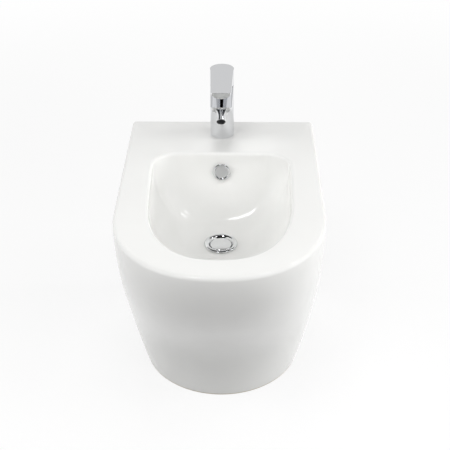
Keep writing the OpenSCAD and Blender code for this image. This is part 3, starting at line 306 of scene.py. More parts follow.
def merged_mesh(node):
    """A copy of a CAD node's mesh with its loose triangles joined and its flat faces whole."""
    mesh = frame["nodes"][node].data.copy()
    bm = bmesh.new()
    bm.from_mesh(mesh)
    bmesh.ops.remove_doubles(bm, verts=bm.verts, dist=WELD)
    bmesh.ops.dissolve_limit(bm, angle_limit=FLAT, verts=bm.verts, edges=bm.edges)
    bm.to_mesh(mesh)
    bm.free()
    return mesh


def machined(node, edge, angle=28, segments=2):
    """A CAD node with smooth round faces and a small radius along its edges, given in metres."""
    piece = new_object(node + "_finished", merged_mesh(node))
    bevel = piece.modifiers.new("edge", "BEVEL")
    bevel.width = edge
    bevel.segments = segments
    bevel.limit_method = "ANGLE"
    bevel.angle_limit = radians(angle)
    apply_modifiers(piece)
    smooth_by_angle(piece.data)
    # The broad faces keep their own normals, so that the mirror bends only along the edges
    piece.modifiers.new("even", "WEIGHTED_NORMAL").keep_sharp = True
    apply_modifiers(piece)
    place(piece, BODY_OF[node], SLOT_OF[node], node)


def keep_cad(*nodes):
    """Leaves CAD nodes as they are and gives them their finish."""
    for node in nodes:
        piece = frame["nodes"][node]
        piece.data.materials.clear()
        piece.data.materials.append(finish(SLOT_OF[node]))


def closed_piece(name, bm):
    """An object from a closed surface, with its faces turned outwards."""
    bmesh.ops.recalc_face_normals(bm, faces=bm.faces)
    mesh = bpy.data.meshes.new(name)
    bm.to_mesh(mesh)
    bm.free()
    return new_object(name, mesh)


def solid(name, points, faces):
    bm = bmesh.new()
    corners = [bm.verts.new(point) for point in points]
    for face in faces:
        bm.faces.new([corners[i] for i in face])
    return closed_piece(name, bm)


def round_bar(name, radius, length, matrix, sides=96):
    bm = bmesh.new()
    bmesh.ops.create_cone(bm, cap_ends=True, segments=sides, radius1=radius, radius2=radius,
                          depth=length, matrix=matrix)
    return closed_piece(name, bm)


def combine(piece, other, how):
    """Adds another closed piece to this one, or cuts it away, and removes the other."""
    modifier = piece.modifiers.new("combine", "BOOLEAN")
    modifier.operation = how
    modifier.solver = "MANIFOLD"
    modifier.object = other
    apply_modifiers(piece)
    mesh = other.data
    bpy.data.objects.remove(other)
    bpy.data.meshes.remove(mesh)


def lathe(name, profile, matrix, sides=128):
    """Turns a closed profile of radius and height round Z, then places it."""
    bm = bmesh.new()
    corners = [bm.verts.new((r, 0, z)) for r, z in profile]
    edges = [bm.edges.new((a, b)) for a, b in zip(corners, corners[1:] + corners[:1])]
    bmesh.ops.spin(bm, geom=corners + edges, cent=(0, 0, 0), axis=(0, 0, 1), angle=2 * pi,
                   steps=sides, use_merge=True)
    bmesh.ops.remove_doubles(bm, verts=bm.verts, dist=1e-7)
    bmesh.ops.transform(bm, matrix=matrix, verts=bm.verts)
    return closed_piece(name, bm)


# ---- Geometry Nodes ----

def geometry_tree(name, counts, sizes):
    """A geometry tree, what adds nodes to it, and its inputs."""
    tree = bpy.data.node_groups.new(name, "GeometryNodeTree")
    tree.interface.new_socket("Geometry", in_out="OUTPUT", socket_type="NodeSocketGeometry")
    kinds = {**dict.fromkeys(counts, "Int"), **dict.fromkeys(sizes, "Float"),
             "Place": "Vector", "Turn": "Rotation", "Finish": "Material"}
    for label, kind in kinds.items():
        tree.interface.new_socket(label, in_out="INPUT", socket_type="NodeSocket" + kind)
    add = partial(add_node, tree)
    return tree, add, add("NodeGroupInput").outputs


def close_tree(tree, geometry, given):
    """Turns and moves the result to its place, makes it real and gives it its finish."""
    add = partial(add_node, tree)
    placed = add("GeometryNodeTransform", {
        "Geometry": geometry, "Translation": given["Place"], "Rotation": given["Turn"]})
    real = add("GeometryNodeRealizeInstances", {"Geometry": placed})
    coated = add("GeometryNodeSetMaterial", {"Geometry": real, "Material": given["Finish"]})
    add("NodeGroupOutput", {"Geometry": coated})
    return tree


def thread_tree():
    """A screw thread: a ridge of diamond section that winds up round a bar."""
    tree, add, given = geometry_tree("screw_thread", (), ("Radius", "Pitch", "Length", "Depth"))
    turns = add("ShaderNodeMath", {0: given["Length"], 1: given["Pitch"]}, operation="DIVIDE")
    root = add("ShaderNodeMath", {0: given["Radius"], 1: given["Depth"]}, operation="SUBTRACT")
    helix = add("GeometryNodeCurveSpiral", {
        "Resolution": 64, "Rotations": turns, "Start Radius": root, "End Radius": root,
        "Height": given["Length"]})
    upright = add("GeometryNodeSetCurveNormal", {"Curve": helix}, mode="Z_UP")
    section = add("GeometryNodeCurvePrimitiveCircle", {"Resolution": 4, "Radius": given["Depth"]})
    ridge = add("GeometryNodeCurveToMesh", {
        "Curve": upright, "Profile Curve": section, "Fill Caps": True})
    return close_tree(tree, ridge, given)


def grip_tree():
    """Grip ribs: thin bars spaced evenly round a nut, along its axis."""
    tree, add, given = geometry_tree("grip_ribs", ("Count",), ("Radius", "Rib", "Length"))
    ring = add("GeometryNodeMeshCircle", {"Vertices": given["Count"], "Radius": given["Radius"]})
    bar = add("GeometryNodeMeshCylinder", {
        "Vertices": 8, "Radius": given["Rib"], "Depth": given["Length"]})
    bars = add("GeometryNodeInstanceOnPoints", {"Points": ring, "Instance": bar.outputs["Mesh"]})
    return close_tree(tree, bars, given)


def jet_tree():
    """Spray jets: small nipples in staggered rows, kept inside a circle."""
    tree, add, given = geometry_tree("spray_jets", ("Rows",), ("Radius", "Pitch", "Jet", "Rise"))
    rows, pitch = given["Rows"], given["Pitch"]
    steps = add("ShaderNodeMath", {0: rows, 1: 1}, operation="SUBTRACT")
    width = add("ShaderNodeMath", {0: steps, 1: pitch}, operation="MULTIPLY")
    # Rows of an even triangular pattern lie closer than the jets in a row
    closer = sin(radians(60))
    depth = add("ShaderNodeMath", {0: width, 1: closer}, operation="MULTIPLY")
    grid = add("GeometryNodeMeshGrid", {
        "Size X": width, "Size Y": depth, "Vertices X": rows, "Vertices Y": rows})
    index = add("GeometryNodeInputIndex")
    row = add("ShaderNodeMath", {0: index, 1: rows}, operation="FLOORED_MODULO")
    odd = add("ShaderNodeMath", {0: row, 1: 2.0}, operation="FLOORED_MODULO")
    half = add("ShaderNodeMath", {0: pitch, 1: 0.5}, operation="MULTIPLY")
    shift = add("ShaderNodeMath", {0: odd, 1: half}, operation="MULTIPLY")
    aside = add("ShaderNodeCombineXYZ", {"X": shift})
    staggered = add("GeometryNodeSetPosition", {"Geometry": grid, "Offset": aside})
    spot = add("GeometryNodeInputPosition")
    reach = add("ShaderNodeVectorMath", {0: spot}, operation="LENGTH")
    outside = add("ShaderNodeMath", {
        0: reach.outputs["Value"], 1: given["Radius"]}, operation="GREATER_THAN")
    kept = add("GeometryNodeDeleteGeometry", {"Geometry": staggered, "Selection": outside})
    # Each nipple tapers to seven tenths of its foot
    slim = add("ShaderNodeMath", {0: given["Jet"], 1: 0.7}, operation="MULTIPLY")
    nipple = add("GeometryNodeMeshCone", {
        "Vertices": 16, "Radius Top": slim, "Radius Bottom": given["Jet"],
        "Depth": given["Rise"]})
    jets = add("GeometryNodeInstanceOnPoints", {"Points": kept, "Instance": nipple.outputs["Mesh"]})
    return close_tree(tree, jets, given)


def grow(name, tree, body, slot, values):
    """Runs a geometry tree with its inputs set, and keeps the result as a plain mesh."""
    piece = new_object(name, bpy.data.meshes.new(name))
    modifier = piece.modifiers.new("grow", "NODES")
    modifier.node_group = tree
    values = {"Turn": (0.0, 0.0, 0.0), **values, "Finish": finish(slot)}
    for item in tree.interface.items_tree:
        if item.in_out == "INPUT":
            modifier[item.identifier] = values[item.name]
    apply_modifiers(piece)
    smooth_by_angle(piece.data)
    place(piece, body, slot)


def draw_in(mesh, axis_y, radius, depth, low_z, high_z):
    """Takes an upright bar down to the root of its thread between two heights."""
    share = (radius - depth) / radius
    for vertex in mesh.vertices:
        x, y = vertex.co.x, vertex.co.y - axis_y
        on_skin = abs(hypot(x, y) - radius) < 0.05 * MM
        if on_skin and low_z <= vertex.co.z <= high_z:
            vertex.co.x, vertex.co.y = x * share, axis_y + y * share
    mesh.update()


# ---- The bowl ----

# Steps along half of the back edge, a corner, a side and the front of each ring
PLAN_STEPS = (4, 7, 14, 64)


def plan_curve(half_width, back, front, run, power, corner):
    """A ring as rows of x and distance from the wall: straight sides and a rounded front."""
    n_back, n_corner, n_side, n_front = PLAN_STEPS
    half = [((half_width - corner) * i / n_back, back) for i in range(n_back)]
    for i in range(n_corner):
        t = pi / 2 * i / n_corner
        half.append((half_width - corner + corner * sin(t),
                     back + corner - corner * cos(t)))
    half += [(half_width, back + corner + (run - back - corner) * i / n_side)
             for i in range(n_side)]
    for i in range(n_front + 1):
        t = pi / 2 * i / n_front
        half.append((half_width * max(0.0, cos(t)) ** (2 / power),
                     run + (front - run) * sin(t) ** (2 / power)))
    half = np.array(half)
    return np.vstack([half, half[1:-1][::-1] * [-1, 1]])


def outside_curve(bowl, z, off, back):
    """The outside at a height, drawn in by off, and by back at the wall."""
    up = z / bowl.height
    aside = 1 - (1 - up) ** bowl.side_hang
    forward = (1 - (1 - up) ** 2) ** bowl.front_hang
    half_width = bowl.foot_width / 2 + (bowl.width - bowl.foot_width) / 2 * aside
    return plan_curve(
        half_width - off, back,
        bowl.foot_depth + (bowl.depth - bowl.foot_depth) * forward - off,
        bowl.foot_run + (bowl.side_run - bowl.foot_run) * forward,
        bowl.foot_power + (bowl.front_power - bowl.foot_power) * up,
        max(bowl.corner - off, MM))


def opening_curve(bowl, off):
    """The basin's opening, grown by off."""
    curve = plan_curve(bowl.basin_width / 2 + off, bowl.basin_back - off, bowl.basin_front + off,
                       bowl.basin_run, bowl.basin_power, bowl.basin_corner + off)
    past_corner = np.maximum(0, curve[:, 1] - bowl.basin_back - bowl.basin_corner)
    curve[:, 0] *= 1 - bowl.basin_draw * past_corner / (bowl.basin_width / 2)
    return curve


def last_turn(bowl):
    """The turn at the seat: turns run down the basin's wall in radians, from 0 at the rim."""
    return acos((bowl.seat_radius / bowl.basin_circle) ** (bowl.basin_full / 2))


def basin_share(bowl, turn):
    """How wide the basin still is at a turn, from 1 at the rim, and how round it has become."""
    share = cos(turn) ** (2 / bowl.basin_full)
    seat_share = bowl.seat_radius / bowl.basin_circle
    round_now = min(1, max(0, (bowl.round_from - share) / (bowl.round_from - seat_share)))
    return share, round_now * round_now * (3 - 2 * round_now)


def basin_curve(bowl, turn, off):
    """The basin's ring at a turn, moved out by off."""
    share, round_now = basin_share(bowl, turn)
    way = opening_curve(bowl, 0) - [0, bowl.waste_distance]
    length = np.linalg.norm(way, axis=1)
    scale = (1 - round_now) + round_now * bowl.basin_circle / length
    reach = share + off * cos(turn) / (scale * length)
    return way * (scale * reach)[:, None] + [0, bowl.waste_distance]


def basin_height(bowl, turn, off=0.0):
    fall = (bowl.basin_depth - bowl.basin_edge) * sin(turn) / sin(last_turn(bowl))
    return bowl.height - bowl.basin_edge - fall - off * sin(turn)


def core_curve(bowl, radius):
    """A small circle round the waste with the points of the other rings."""
    way = opening_curve(bowl, 0) - [0, bowl.waste_distance]
    return way * (radius / np.linalg.norm(way, axis=1))[:, None] + [0, bowl.waste_distance]


def china_rings(bowl):
    """The rings of the china, up the outside, over the rim, down the basin and back inside."""
    rings = []

    def add_ring(curve, z):
        rings.append(np.column_stack([curve[:, 0], WALL_Y - curve[:, 1], np.full(len(curve), z)]))

    quarter = pi / 2
    # Steps up the outside, round an edge, down the basin, and back up and down inside
    outer, edge, basin, inner = 44, 10, 44, 24
    rim = bowl.rim_edge
    # The narrow middle of the tube lies well inside the waste hole, which takes it away
    core = bowl.waste_hole / 2 - 9 * MM
    for i in range(outer + 1):
        z = (bowl.height - rim) * i / outer
        add_ring(outside_curve(bowl, z, 0, 0), z)
    for i in range(1, edge + 1):
        drop = 1 - cos(quarter * i / edge)
        z = bowl.height - rim + rim * sin(quarter * i / edge)
        add_ring(outside_curve(bowl, z, rim * drop, bowl.wall_edge * drop), z)
    for i in range(edge + 1):
        t = quarter * i / edge
        add_ring(opening_curve(bowl, bowl.basin_edge * (1 - sin(t))),
                 bowl.height - bowl.basin_edge * (1 - cos(t)))
    for i in range(1, basin + 1):
        turn = last_turn(bowl) * i / basin
        add_ring(basin_curve(bowl, turn, 0), basin_height(bowl, turn))
    add_ring(core_curve(bowl, core), bowl.height - bowl.basin_depth)
    add_ring(core_curve(bowl, core), bowl.height - bowl.basin_depth - bowl.china)
    for i in range(inner, 0, -1):
        turn = last_turn(bowl) * i / inner
        add_ring(basin_curve(bowl, turn, bowl.china), basin_height(bowl, turn, bowl.china))
    top = bowl.height - bowl.deck
    add_ring(basin_curve(bowl, last_turn(bowl) / inner, bowl.china), top)
    for i in range(inner, -1, -1):
        z = top * i / inner
        add_ring(outside_curve(bowl, z, bowl.china, bowl.china), z)
    return np.array(rings)


def tube(name, rings):
    """A closed tube of rings whose last ring joins the first."""
    count, n, _ = rings.shape
    quads = []
    for j in range(count):
        k = (j + 1) % count
        for i in range(n):
            quads.append((j * n + i, j * n + (i + 1) % n, k * n + (i + 1) % n, k * n + i))
    return solid(name, rings.reshape(-1, 3).tolist(), quads)


def back_point(bowl, turn, off):
    """A point of the basin's back wall as distance from the wall and height, moved out by off."""
    share, round_now = basin_share(bowl, turn)
    length = bowl.waste_distance - bowl.basin_back
    reach = share * ((1 - round_now) * length + round_now * bowl.basin_circle)
    return bowl.waste_distance - reach - off * cos(turn), basin_height(bowl, turn, off)


def channel_outline(bowl, start, near, far, end, top, bottom):
    """Side view of a channel down the back of the basin, from a turn in degrees to the waste."""
    turns = np.linspace(radians(start), last_turn(bowl), 25)
    return ([back_point(bowl, t, near) for t in turns] + [(end, top), (end, bottom)]
            + [back_point(bowl, t, far) for t in turns[::-1]])


def side_prism(name, outline, width):
    """A side view of distances from the wall and heights, given a width across the bowl."""
    count = len(outline)
    points = [(side * width / 2, WALL_Y - d, z) for side in (-1, 1) for d, z in outline]
    faces = [tuple(range(count)), tuple(range(count, 2 * count))]
    faces += [(i, (i + 1) % count, count + (i + 1) % count, count + i) for i in range(count)]
    return solid(name, points, faces)


def overflow_place(bowl):
    """Turns +Z out of the basin's back wall at the overflow."""
    fall = (bowl.overflow_drop - bowl.basin_edge) / (bowl.basin_depth - bowl.basin_edge)
    turn = asin(fall * sin(last_turn(bowl)))
    step = radians(1)
    below, above = back_point(bowl, turn + step, 0), back_point(bowl, turn - step, 0)
    lean = atan2(below[0] - above[0], above[1] - below[1])
    distance, z = back_point(bowl, turn, 0)
    return (Matrix.Translation((0, WALL_Y - distance, z))
            @ Matrix.Rotation(pi / 2 - lean, 4, "X"))


class BIDET_OT_bowl(Operator):
    """Makes the china bowl as one smooth closed surface with its holes"""
    bl_idname = "bidet.bowl"
    bl_label = "Bowl"

    def execute(self, context):
        bowl = context.scene.bidet_bowl
        body = tube("bowl_glazed", china_rings(bowl))
        self.add_boss_and_duct(body, bowl)
        self.cut_holes(body, bowl)
        smooth_by_angle(body.data, 35)
        place(body, "base", "china", *CHINA)
        return {"FINISHED"}

    def add_boss_and_duct(self, body, bowl):
        height = bowl.boss_height - bowl.china / 2
        middle = Matrix.Translation((0, WASTE_Y, SEAT_Z - bowl.boss_height + height / 2))
        combine(body, round_bar("boss", bowl.boss_width / 2, height, middle), "UNION")
        # The duct starts just under the rim, and its bore a little lower
        duct = channel_outline(
            bowl, 7, bowl.china / 2, bowl.china + bowl.channel + bowl.channel_wall,
            bowl.waste_distance - bowl.boss_width / 2 + bowl.china,
            SEAT_Z - bowl.china, SEAT_Z - bowl.boss_height)
        wide = bowl.channel_width + 2 * bowl.channel_wall
        combine(body, side_prism("duct", duct, wide), "UNION")
        # The bore runs 4 mm into the waste hole
        bore = channel_outline(
            bowl, 12, bowl.china, bowl.china + bowl.channel,
            bowl.waste_distance - bowl.waste_hole / 2 + 4 * MM,
            SEAT_Z - bowl.china - MM, SEAT_Z - bowl.china - bowl.channel)
        combine(body, side_prism("duct_bore", bore, bowl.channel_width), "DIFFERENCE")

    def cut_holes(self, body, bowl):
        across = Matrix.Rotation(pi / 2, 4, "Y")
        side = (0, WALL_Y - bowl.side_hole_distance, bowl.side_hole_height)
        # Each hole's width, length and place
        holes = {
            "overflow_hole": (bowl.overflow_hole, bowl.china + bowl.channel,
                              overflow_place(bowl) @ Matrix.Translation((0, 0, -bowl.china / 2))),
            "waste_hole": (bowl.waste_hole, 2 * bowl.boss_height,
                           Matrix.Translation((0, WASTE_Y, SEAT_Z - bowl.boss_height / 2))),
            "tap_hole": (bowl.tap_hole, 2 * bowl.deck,
                         Matrix.Translation((0, TAP_Y, bowl.height - bowl.deck / 2))),
            "side_holes": (bowl.side_hole, 1.1 * bowl.width, Matrix.Translation(side) @ across),
        }
        for name, (width, length, where) in holes.items():
            combine(body, round_bar(name, width / 2, length, where), "DIFFERENCE")
        past, high = bowl.china + MM, bowl.back_opening_height
        opening = [(-MM, -MM), (past, -MM), (past, high), (-MM, high)]
        combine(body, side_prism("back_opening", opening, bowl.back_opening_width), "DIFFERENCE")


# ---- The fittings ----

# Depth of a thread as a share of its pitch
THREAD_DEPTH = 0.6


class BIDET_OT_mixer(Operator):
    """Finishes the chrome column with its spout, the dome and the lever"""
    bl_idname = "bidet.mixer"
    bl_label = "Mixer"

    def execute(self, context):
        edge = context.scene.bidet_fittings.casting_edge
        machined("mixer_body", edge, 28, 3)
        machined("lever", edge, 28, 3)
        machined("dome_cover", edge / 2)
        return {"FINISHED"}


class BIDET_OT_nozzle(Operator):
    """Finishes the ball nozzle and grows the jets of its outlet"""
    bl_idname = "bidet.nozzle"
    bl_label = "Nozzle"

    def execute(self, context):
        fit = context.scene.bidet_fittings
        machined("nozzle", 0.25 * MM)
        machined("nozzle_pin", 0.2 * MM)
        keep_cad("nozzle_seal")
        low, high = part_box("nozzle_pin")
        ball = (low + high) / 2
        dip = Matrix.Rotation(pi / 2 + fit.nozzle_dip, 4, "X")
        along = Matrix.Translation(ball) @ dip
        # The outlet is pressed into the barrel, and its collar covers the barrel's end
        r, cover, end = fit.outlet_width / 2, fit.outlet_cover / 2, fit.barrel_length
        sink, chamfer, rise, lip = 0.2 * MM, 0.3 * MM, 0.6 * MM, 1.5 * MM
        back, dish, top, inner = end - fit.outlet_depth, end - sink, end + rise, cover - lip
        cup = [(0, back), (r, back), (r, end), (cover - sink, end), (cover, end + sink),
               (cover - chamfer, top), (inner + chamfer, top), (inner, end + chamfer),
               (inner, dish), (0, dish)]
        disc = lathe("outlet_disc", cup, along)
        smooth_by_angle(disc.data, 30)
        place(disc, "spray", "dark_plastic", "aerator")
        jets = along @ Matrix.Translation((0, 0, dish + sink))
        grow("outlet_jets", jet_tree(), "spray", "dark_plastic", {
            "Radius": inner - 2 * fit.jet, "Pitch": fit.jet_pitch, "Rows": 9, "Jet": fit.jet,
            "Rise": rise, "Place": jets.translation, "Turn": jets.to_euler()})
        return {"FINISHED"}


class BIDET_OT_waste(Operator):
    """Finishes the flange, the plug and the threaded tail of the pop-up waste"""
    bl_idname = "bidet.waste"
    bl_label = "Waste"

    def execute(self, context):
        fit = context.scene.bidet_fittings
        machined("waste_flange", 0.3 * MM, 40)
        machined("waste_plug", 0.15 * MM, 40)
        for node in ("backnut", "under_washer", "under_seal", "port_nut", "plug_foot"):
            machined(node, 0.4 * MM)
        keep_cad("plug_seal", "flange_seal", "port_seal")
        self.thread_tail(fit)
        self.rib_port_nut()
        return {"FINISHED"}

    def thread_tail(self, fit):
        radius = fit.tail_width / 2
        body_top = SEAT_Z - fit.thread_end
        # The thread runs a little past the nut
        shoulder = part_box("backnut")[1].z + 5 * MM
        depth = THREAD_DEPTH * fit.tail_pitch
        tail = new_object("waste_tail_finished", merged_mesh("waste_tail"))
        draw_in(tail.data, WASTE_Y, radius, depth, body_top - MM, SEAT_Z)
        smooth_by_angle(tail.data, 30)
        place(tail, "base", "plated_brass", "waste_tail")
        grow("tail_thread", thread_tree(), "base", "plated_brass", {
            "Radius": radius, "Pitch": fit.tail_pitch, "Length": shoulder - body_top,
            "Depth": depth, "Place": (0, WASTE_Y, body_top)})

    def rib_port_nut(self):
        low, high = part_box("port_nut")
        middle = (low + high) / 2
        turn = Matrix.Rotation(-pi / 2, 4, "X").to_euler()
        grow("port_nut_ribs", grip_tree(), "base", "plated_brass", {
            "Radius": (high.x - low.x) / 2, "Count": 28, "Rib": 0.5 * MM,
            "Length": (high.y - low.y) * 0.8, "Place": middle, "Turn": turn})


class BIDET_OT_overflow(Operator):
    """Finishes the dished overflow cap and its sleeve"""
    bl_idname = "bidet.overflow"
    bl_label = "Overflow"

    def execute(self, context):
        machined("overflow_cap", 0.1 * MM, 60)
        keep_cad("overflow_sleeve")
        return {"FINISHED"}


class BIDET_OT_linkage(Operator):
    """Finishes the lift rod, the strap and the pivot rod"""
    bl_idname = "bidet.linkage"
    bl_label = "Linkage"

    def execute(self, context):
        for node in ("lift_rod", "lift_knob", "clevis_strap", "clevis_screw", "spring_clip",
                     "pivot_rod"):
            machined(node, 0.2 * MM)
        return {"FINISHED"}


class BIDET_OT_fixings(Operator):
    """Finishes the brackets, their screws and the threaded fixing of the mixer under the deck"""
    bl_idname = "bidet.fixings"
    bl_label = "Fixings"

    def execute(self, context):
        fit = context.scene.bidet_fittings
        for node in ("bracket_left", "bracket_right", "side_screws", "side_sleeves", "side_caps",
                     "rubber_washer", "metal_washer", "fixing_nut", "base_gasket"):
            machined(node, 0.25 * MM)
        low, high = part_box("fixing_stud")
        x, y = (low.x + high.x) / 2, (low.y + high.y) / 2
        radius = (high.x - low.x) / 2
        depth = THREAD_DEPTH * fit.stud_pitch
        middle = Matrix.Translation((x, y, (low.z + high.z) / 2))
        core = round_bar("fixing_stud_core", radius - depth, high.z - low.z, middle, 48)
        smooth_by_angle(core.data)
        place(core, "base", "raw_brass", "fixing_stud")
        grow("stud_thread", thread_tree(), "base", "raw_brass", {
            "Radius": radius, "Pitch": fit.stud_pitch, "Length": RIM_Z - low.z - fit.stud_pitch,
            "Depth": depth, "Place": (x, y, low.z + depth)})
        return {"FINISHED"}


class BIDET_OT_cartridge(Operator):
    """Gives the pieces inside the mixer their finishes"""
    bl_idname = "bidet.cartridge"
    bl_label = "Cartridge"

    def execute(self, context):
        keep_cad("cartridge_housing", "fixed_disc", "moving_disc", "cartridge_nut",
                 "cartridge_carrier", "lever_stem", "stem_pin", "lever_screw")
        return {"FINISHED"}


# ---- Stage ----

FLOOR_REACH = 8.0
# How far from the middle the shadow starts to fade, and where it has gone
SHADOW_FADE = (0.9, 2.4)
# Cosines of the angle from the dark ceiling's middle at which it gives way to the backdrop
CEILING_EDGE = (0.35, 0.65)
SENSOR_WIDTH = 36.0
AIM = Vector((0, 0, 0.3))
# Each lamp's turn from the front and height above level in degrees, its width, height and power.
# The soft fills are kept out of the glaze and the chrome, which mirror the three small windows.
FILLS = {
    "fill_top": (0, 75, 1.0, 0.8, 8.9),
    "fill_back": (180, 30, 1.2, 1.2, 16.7),
    "fill_front_left": (-45, 30, 1.2, 1.2, 13.8),
    "fill_front_left_high": (-30, 57, 1.0, 1.0, 7.3),
    "fill_front_right": (45, 30, 1.2, 1.2, 14.9),
    "fill_left": (-90, 25, 1.2, 1.4, 17.7),
    "fill_right": (90, 25, 1.2, 1.4, 9.5),
    "fill_right_low": (90, 9, 1.2, 0.5, 22.9),
}
WINDOWS = {
    "window_left": (-25, 57, 0.4, 0.4, 5.0),
    "window_right": (62, 61, 0.4, 0.4, 3.0),
    "window_far_right": (105, 52, 0.4, 0.4, 3.0),
}


class BIDET_OT_stage(Operator):
    """Sets the pale floor, the soft light and the camera"""
    bl_idname = "bidet.stage"
    bl_label = "Stage"

    def execute(self, context):
        scene = context.scene
        stage = scene.bidet_stage
        scene.view_settings.view_transform = "Standard"
        self.lay_floor(stage)
        self.make_room(scene, stage)
        self.hang_lamps(stage)
        self.set_camera(scene, stage)
        return {"FINISHED"}

    def hang_lamps(self, stage):
        for lamps, mirrored in ((FILLS, False), (WINDOWS, True)):
            for name, (azimuth, height, wide, high, power) in lamps.items():
                a, e = radians(azimuth), radians(height)
                way = Vector((sin(a) * cos(e), -cos(a) * cos(e), sin(e)))
                data = bpy.data.lights.new(name, "AREA")
                data.shape = "RECTANGLE"
                data.size, data.size_y = wide, high
                data.energy = power * stage.lamps
                lamp = new_object(name, data)
                lamp.location = AIM + stage.lamp_distance * way
                lamp.rotation_euler = (-way).to_track_quat("-Z", "Y").to_euler()
                lamp.visible_glossy = mirrored

    def lay_floor(self, stage):
        corners = [(x * FLOOR_REACH, y * FLOOR_REACH, 0)
                   for x, y in ((-1, -1), (1, -1), (1, 1), (-1, 1))]
        mesh = bpy.data.meshes.new("floor")
        mesh.from_pydata(corners, [], [(0, 1, 2, 3)])
        floor = new_object("floor", mesh)
        material, add, where = new_material("studio_floor_pale")
        # The floor throws back the light of a pale grey, and looks white with a soft shadow
        path = add("ShaderNodeLightPath")
        paper = add("ShaderNodeBsdfDiffuse", {"Color": (*stage.floor, 1)})
        glow = add("ShaderNodeEmission")
        white = add("ShaderNodeBsdfDiffuse", {"Color": (*stage.floor_seen, 1)})
        away = add("ShaderNodeVectorMath", {0: where}, operation="LENGTH")
        share = add("ShaderNodeMapRange", {
            "Value": away.outputs["Value"],
            "From Min": SHADOW_FADE[0], "From Max": SHADOW_FADE[1],
            "To Min": stage.shadow, "To Max": 0.0}, interpolation_type="SMOOTHSTEP")
        shaded = add("ShaderNodeMixShader", {"Fac": share, 1: glow, 2: white})
        seen = add("ShaderNodeMath", {
            0: path.outputs["Is Camera Ray"],
            1: path.outputs["Is Glossy Ray"]}, operation="MAXIMUM")
        mixed = add("ShaderNodeMixShader", {"Fac": seen, 1: paper, 2: shaded})
        add("ShaderNodeOutputMaterial", {"Surface": mixed})
        material.cycles.emission_sampling = "NONE"
        mesh.materials.append(material)

    def make_room(self, scene, stage):
        world = bpy.data.worlds.new("soft_room")
        world.use_nodes = True
        world.node_tree.nodes.clear()
        add = partial(add_node, world.node_tree)
        path = add("ShaderNodeLightPath")
        seen = add("ShaderNodeMath", {
            0: path.outputs["Is Camera Ray"],
            1: path.outputs["Is Transmission Ray"]}, operation="MAXIMUM")
        # Polished faces mirror a pale backdrop all round, and a dark ceiling that leans forward
        lean = stage.ceiling_lean
        way = add("ShaderNodeVectorMath", {
            0: add("ShaderNodeTexCoord").outputs["Generated"],
            1: (0, -sin(lean), cos(lean))}, operation="DOT_PRODUCT")
        mirrored = add("ShaderNodeMapRange", {
            "Value": way.outputs["Value"],
            "From Min": CEILING_EDGE[0], "From Max": CEILING_EDGE[1],
            "To Min": stage.backdrop, "To Max": stage.ceiling}, interpolation_type="SMOOTHSTEP")
        # Only mirrors see the room, and the lamps alone light the object
        around = add("ShaderNodeMath", {
            0: path.outputs["Is Glossy Ray"], 1: mirrored}, operation="MULTIPLY")
        room = add("ShaderNodeBackground", {"Strength": around})
        white = add("ShaderNodeBackground", {"Color": (1, 1, 1, 1)})
        mixed = add("ShaderNodeMixShader", {"Fac": seen, 1: room, 2: white})
        add("ShaderNodeOutputWorld", {"Surface": mixed})
        scene.world = world

    def set_camera(self, scene, stage):
        data = bpy.data.cameras.new("camera")
        data.lens = stage.lens
        data.sensor_width = SENSOR_WIDTH
        camera = new_object("camera", data)
        turn = (Matrix.Rotation(stage.yaw, 4, "Z")
                @ Matrix.Rotation(pi / 2 - stage.pitch, 4, "X")
                @ Matrix.Rotation(stage.roll, 4, "Z"))
        camera.matrix_world = Matrix.Translation(stage.camera) @ turn
        scene.camera = camera


# ---- Settings ----

def number(name, description, default, unit="NONE"):
    return bpy.props.FloatProperty(name=name, description=description, unit=unit, default=default)


def metres(name, description, default):
    return number(name, description, default, "LENGTH")


def angle(name, description, default):
    return number(name, description, default, "ROTATION")


def tone(name, thing, hex_colour):
    return bpy.props.FloatVectorProperty(
        name=name, description="Colour of " + thing, subtype="COLOR",
        default=linear(hex_colour))


